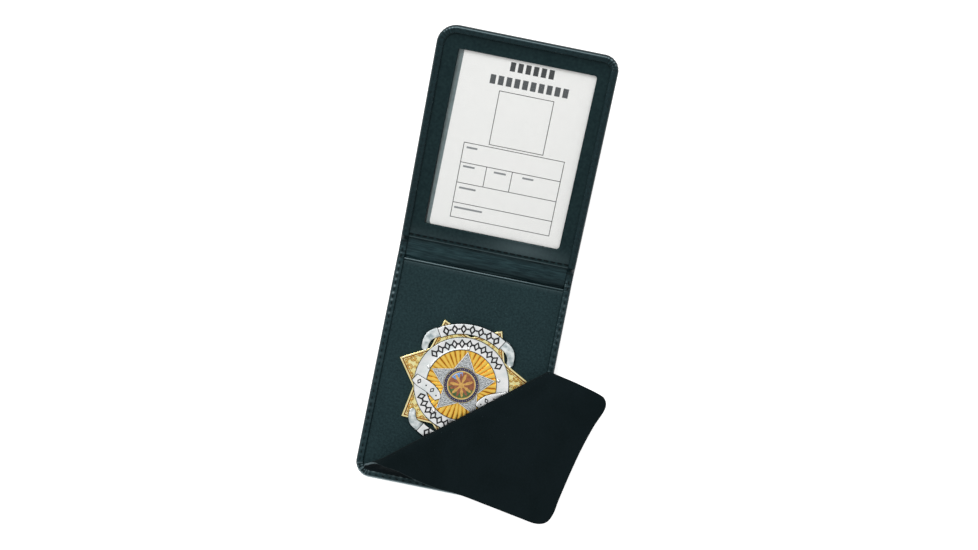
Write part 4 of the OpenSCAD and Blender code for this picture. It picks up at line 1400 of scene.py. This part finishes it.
def rayShape(tree, given):
    start = addNode(tree, "ShaderNodeCombineXYZ", {"X": given["From"]}).outputs[0]
    end = addNode(tree, "ShaderNodeCombineXYZ", {"X": given["To"]}).outputs[0]
    line = addNode(tree, "GeometryNodeCurvePrimitiveLine", {"Start": start, "End": end})
    cut = addNode(tree, "GeometryNodeResampleCurve", {"Curve": line.outputs[0], "Count": 5})
    along = addNode(tree, "GeometryNodeSplineParameter").outputs["Factor"]
    wide = addNode(tree, "ShaderNodeMapRange", {"Value": along, "To Min": given["Narrow"],
                                                "To Max": given["Wide"]}).outputs["Result"]
    shaped = addNode(tree, "GeometryNodeSetCurveRadius", {"Curve": cut.outputs[0],
                                                          "Radius": wide})
    rib = wireAlong(tree, shaped.outputs[0], 1.0, 10, Scale=wide)
    flat = addNode(tree, "ShaderNodeCombineXYZ", {"X": 1.0, "Y": 1.0, "Z": given["Rise"]})
    return addNode(tree, "GeometryNodeTransform", {"Geometry": rib,
                                                   "Scale": flat.outputs[0]}).outputs[0]


rayStands = [standOn(onBadge, 0, 0, rays["base"], *polar(1.0, 360 * k / rays["count"]))
             for k in range(rays["count"])]
gilt = giltRays(rays["count"], badge["centreY"] - wallet["originY"])
sunburst = repeatedPiece("sunburst", rayStands, {
    "From": rays["from"] * mm, "To": rays["to"] * mm, "Rise": rays["rise"],
    "Narrow": rays["from"] * math.pi / rays["count"] * mm,
    "Wide": rays["to"] * math.pi / rays["count"] * mm}, rayShape, gilt)
badgePiece(sunburst, "gold_plate")


# A solid of revolution about the badge's centre from (radius, height, material) rows
def turnedPiece(name, rows, materials, around=144):
    verts = []
    for k in range(around):
        ux, uy = polar(1.0, 360 * k / around)
        verts += [onBadge(radius * ux, radius * uy, z) for radius, z, _ in rows]
    faces = gridFaces(around, len(rows), closeRows=True, closeColumns=True)
    kinds = [rows[index % len(rows)][2] for index in range(len(faces))]
    return newPiece(name, verts, faces, materials, "metal", kinds)


# Disc, ring with its raised lips and painted shade on its walls, inner star with a bright border
# and painted shade on its side and inner slope, and the seal's enamelled ring between two gold
# lines
discRows = ((0.0, 6.0, 0), (16.15, 6.0, 0), (16.15, 6.42, 0), (0.0, 6.42, 0))
bannerRows = ((22.3, 6.0, 1), (22.3, 6.9, 1), (22.05, 7.15, 0), (21.8, 7.3, 0), (21.4, 7.22, 0),
              (19.2, 7.18, 0), (17.1, 7.22, 0), (16.7, 7.3, 0), (16.45, 7.15, 1), (16.2, 6.9, 1),
              (16.2, 6.0, 0))
innerLoops = ((0.0, 6.6), (0.0, 7.2), (0.12, 7.36), (0.45, 7.38), (0.6, 7.12), (1.0, 7.14))
sealRows = ((8.4, 7.3, 0), (8.4, 7.95, 0), (8.25, 8.1, 1), (8.12, 8.1, 0), (8.08, 8.04, 0),
            (6.7, 8.04, 0), (6.66, 8.1, 1), (6.45, 8.12, 1), (6.35, 8.0, 1), (6.35, 7.3, 1))
disc = turnedPiece("sunburstDisc", discRows, [gilt], around=96)
badgePiece(disc, "gold_plate", "sunburst_disc")
ringBanner = turnedPiece("ringBanner", bannerRows, [silverPlate, silverPaintedShade])
badgePiece(ringBanner, "silver_plate", "ring_banner")
innerStar = starPiece("innerStar", 5, badge["innerTip"], badge["innerValley"], 90, innerLoops, 6.0,
                      [silverRelief, silverPlate, silverPaintedShade], {2: 1, 3: 1, 1: 2, 4: 2})
badgePiece(innerStar, "silver_plate", "inner_star")
sealRing = turnedPiece("sealRing", sealRows, [navyEnamel, goldPlate], around=96)
badgePiece(sealRing, "enamel", "seal_ring")

# Gold dots on the seal's ring, a large one and a small one in turn
studs = {"Top": 0.8, "Base": 1.0, "Height": 1.0}
sealDotsAt = {"radius": 7.4, "level": 8.03, "apart": 7.5,
              "sizes": ((0.16, 0.2, 0.1), (0.11, 0.11, 0.1))}


def aroundBadge(radius, z, angles, sizes):
    stands = []
    for k, degrees in enumerate(angles):
        ux, uy = polar(1.0, degrees)
        stands.append(standOn(onBadge, radius * ux, radius * uy, z, -uy, ux,
                              tuple(c * mm for c in sizes[k % len(sizes)])))
    return stands


dotStands = aroundBadge(sealDotsAt["radius"], sealDotsAt["level"],
                        steps(0, 360 - sealDotsAt["apart"], sealDotsAt["apart"]),
                        sealDotsAt["sizes"])
sealDots = repeatedPiece("sealDots", dotStands, studs, lowStud(6), goldPlate)
badgePiece(sealDots, "enamel")

# A plain rosette in four enamels fills the badge's centre
rosette = {"petals": 14, "radius": 6.45, "long": 5.5, "short": 2.9, "heart": 1.3, "border": 6.0,
           "greenFrom": 3.2, "green": (195, 345), "blueFrom": 3.4, "blue": (95, 150),
           "ring": 0.43, "around": 168, "under": 7.3, "level": 7.9, "dome": 0.6, "ripple": 0.06}


def rosettePiece():
    rings, around = steps(0.0, rosette["radius"], rosette["ring"]), rosette["around"]
    rows = []
    for radius in rings:
        z = rosette["level"] + rosette["dome"] * (1 - (radius / rosette["radius"]) ** 2)
        z += rosette["ripple"] * math.cos(math.pi * radius / (2 * rosette["ring"]))
        rows.append((radius, z))
    rows += [(rosette["radius"], rosette["under"]), (0.0, rosette["under"])]
    verts = [onBadge(*polar(radius, 360 * k / around), z) for radius, z in rows
             for k in range(around)]
    faces, kinds = gridFaces(len(rows), around, closeColumns=True), []
    for index in range(len(faces)):
        row, degrees = index // around, 360 * (index % around + 0.5) / around
        radius = (rings[row] + rings[row + 1]) / 2 if row + 1 < len(rings) else rosette["radius"]
        wave = abs(math.cos(math.radians(degrees * rosette["petals"] / 2)))
        low, high = rosette["green"]
        left, right = rosette["blue"]
        if radius < rosette["heart"] or radius > rosette["border"]:
            kind = 1
        elif radius < between(rosette["short"], rosette["long"], wave):
            kind = 0 if (degrees * rosette["petals"] / 360 + 0.5) % 2 < 1 else 1
        elif radius > rosette["greenFrom"] and low < degrees < high:
            kind = 2
        elif radius > rosette["blueFrom"] and left < degrees < right:
            kind = 3
        else:
            kind = 0
        kinds.append(kind)
    return newPiece("rosette", verts, faces, [rustEnamel, amberEnamel, greenEnamel, blueEnamel],
                    "plate", kinds)


badgePiece(rosettePiece(), "enamel", "enamel_disc")
print("badge's star and centre made")

ribbonEnd = 0.32  # each end of a ribbon slopes down over this length, and has painted shade there


# A ribbon of plate: stations of (x, y, half width, top); rounded edges, a shallow dish across, by
# share of the half width and drop below the top, where a drop of 1 is the underside
def ribbonPiece(name, stations, bottom, material):
    side = [(0.4, 0.06), (0.8, 0.0), (0.93, 0.06), (0.99, 0.25), (1.07, 0.55), (1.09, 1.0)]
    across = [(-share, drop) for share, drop in reversed(side)] + [(0.0, 0.08)] + side
    (x0, y0, half0, top0), (x1, y1) = stations[0], stations[1][:2]
    (x2, y2, half2, top2), (x3, y3) = stations[-1], stations[-2][:2]
    first = ribbonEnd / math.hypot(x1 - x0, y1 - y0)
    last = ribbonEnd / math.hypot(x3 - x2, y3 - y2)
    stations = [(between(x0, x1, -first), between(y0, y1, -first), half0, top0 - ribbonEnd),
                *stations,
                (between(x2, x3, -last), between(y2, y3, -last), half2, top2 - ribbonEnd)]
    verts = []
    for k, (x, y, half, top) in enumerate(stations):
        before, after = stations[max(0, k - 1)], stations[min(len(stations) - 1, k + 1)]
        along = Vector((after[0] - before[0], after[1] - before[1])).normalized()
        for share, drop in across:
            z = bottom if drop == 1.0 else top - drop
            verts.append(onBadge(x - along.y * share * half, y + along.x * share * half, z))
    faces = gridFaces(len(stations), len(across), closeColumns=True)
    # the sloping sides and both ends get painted shade
    shaded = (0, 1, len(across) - 3, len(across) - 2)
    ends = (0, len(stations) - 2)
    faceKinds = [int(index % len(across) in shaded or index // len(across) in ends)
                 for index in range(len(faces))]
    for k in (0, len(stations) - 1):
        start = k * len(across)
        faces.append(tuple(range(start, start + len(across))))
        faceKinds.append(1)
    return newPiece(name, verts, faces, [material, silverPaintedShade], "plate", faceKinds)


# Smooth stations through a few (angle from the ribbon's middle, radius, half width, top) rows
def ribbonStations(middle, side, rows, perStep=6, rounded=True):
    stations = []
    for values in curveThrough(rows, perStep):
        stations.append([*polar(values[1], middle + side * values[0]), values[2], values[3]])
    if rounded:  # the far end is drawn in to a round tip
        ex, ey = stations[-1][:2]
        for station in stations:
            left = math.hypot(station[0] - ex, station[1] - ey)
            if left < station[2]:
                station[2] = math.sqrt(max(0.01, station[2] ** 2 - (station[2] - left) ** 2))
    return stations


# Bands and the tails that fold back at both their ends
ribbons = {
    "top": {"middle": 90, "band": ((-34, 26.4, 2.4, 7.35), (-18, 26.2, 2.4, 7.4),
                                   (0, 26.1, 2.4, 7.4), (18, 26.2, 2.4, 7.4),
                                   (34, 26.4, 2.4, 7.35)),
            "tail": ((29, 26.0, 1.9, 6.7), (36, 26.9, 2.1, 6.75), (43, 27.2, 2.1, 6.9),
                     (49, 26.4, 1.8, 6.95), (54, 25.0, 1.5, 6.8), (58, 23.7, 1.4, 6.7))},
    "bottom": {"middle": 270, "band": ((-33, 27.3, 2.4, 7.35), (-16, 27.2, 2.4, 7.4),
                                       (0, 27.2, 2.4, 7.4), (16, 27.2, 2.4, 7.4),
                                       (33, 27.3, 2.4, 7.35)),
               "tail": ((28, 26.8, 1.9, 6.7), (35, 27.6, 2.1, 6.8), (41, 28.0, 2.0, 6.9),
                        (46, 27.2, 1.8, 6.95), (50, 25.9, 1.5, 6.8), (53, 24.8, 1.3, 6.7))},
    "bottomZ": 6.27,
    "sideZ": 7.2,
    "sideSteps": 4,
}
for label in ("top", "bottom"):
    sizes = ribbons[label]
    path = ribbonStations(sizes["middle"], 1, sizes["band"], perStep=10, rounded=False)
    pieces = [ribbonPiece(label + "RibbonBand", path, ribbons["bottomZ"], silverPlate)]
    for name, side in (("Left", 1), ("Right", -1)):
        path = ribbonStations(sizes["middle"], side, sizes["tail"])
        # the tails take the darker silver as painted shade
        pieces.append(ribbonPiece(label + "Ribbon" + name, path, ribbons["bottomZ"], silverTailShade))
    for piece in pieces:
        badgePiece(piece, "silver_plate", label + "_ribbon")
sideRibbon = ((-21.9, -0.6, 1.9, 7.85), (-19.5, -2.0, 2.3, 7.95), (-16.0, -3.3, 2.4, 8.0),
              (-12.9, -4.9, 2.35, 7.95), (-10.6, -7.0, 2.1, 7.9), (-9.7, -8.6, 1.5, 7.85))
sidePath = curveThrough(sideRibbon, ribbons["sideSteps"])
for name, side in (("leftSideRibbon", 1), ("rightSideRibbon", -1)):
    rows = [(x * side, y, half, top) for x, y, half, top in sidePath]
    node = "left_side_ribbon" if side == 1 else "right_side_ribbon"
    badgePiece(ribbonPiece(name, rows, ribbons["sideZ"], silverPlate), "silver_plate", node)

# Plain black enamel ornaments on the ring and the ribbons: an open lozenge and a dot in turn
ornament = {"Line": 0.4, "dot": (0.5, 0.5, 0.12), "large": (1.2, 1.8, 0.4),
            "small": (0.75, 1.15, 0.4), "smallDot": (0.4, 0.4, 0.12),
            "dotRaised": 0.04, "sunk": 0.08}  # above a lozenge, and below a side ribbon's top
# middle radius, height, first and last angle, angle between two lozenges
ornamentRows = ((19.25, 7.18, 38, 142, 10.4), (19.25, 7.18, 207, 333, 10.5),
                (26.1, 7.36, 63, 117, 9.0), (27.2, 7.36, 245, 295, 8.33))


def openLozenge(tree, given):
    outline = addNode(tree, "GeometryNodeCurvePrimitiveCircle", {"Resolution": 4, "Radius": 1.0})
    return wireAlong(tree, outline.outputs["Curve"], given["Line"], 4)


lozenges, dots = [], []
for radius, z, first, last, gap in ornamentRows:
    lozenges += aroundBadge(radius, z, steps(first, last, gap), [ornament["large"]])
    dots += aroundBadge(radius, z + ornament["dotRaised"],
                        steps(first + gap / 2, last - gap / 2, gap), [ornament["dot"]])
for side in (1, -1):
    for k in range(1, len(sideRibbon) - 1):
        (x, y, _, top), ahead = (sidePath[k * ribbons["sideSteps"] + n] for n in (0, 1))
        stand = standOn(onBadge, x * side, y, top - ornament["sunk"], (ahead[0] - x) * side,
                        ahead[1] - y)
        size = ornament["small" if k % 2 else "smallDot"]
        (lozenges if k % 2 else dots).append((*stand[:3], tuple(c * mm for c in size)))
badgePiece(repeatedPiece("blackLozenges", lozenges, {"Line": ornament["Line"]}, openLozenge,
                         blackEnamel), "enamel")
badgePiece(repeatedPiece("blackDots", dots, studs, lowStud(8), blackEnamel), "enamel")
print("ribbons and ornaments made")

# The strip by which the flap is sewn under the turned edge
seam = {"from": 2.9, "to": 4.3, "low": 5.02, "high": 5.72, "side": flap["seamX"], "row": 0.2,
        "columnShare": 0.02}
flapSeam = latticeSlab("flapSeam", steps(0, 1, seam["columnShare"]),
                       steps(seam["from"], seam["to"], seam["row"]),
                       lambda y: (-seam["side"], seam["side"]),
                       lambda x, y: (seam["low"], seam["high"]), place, flapLeather)
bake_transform(flapSeam)
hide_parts("flap_anchor")
print("flap's seam made")
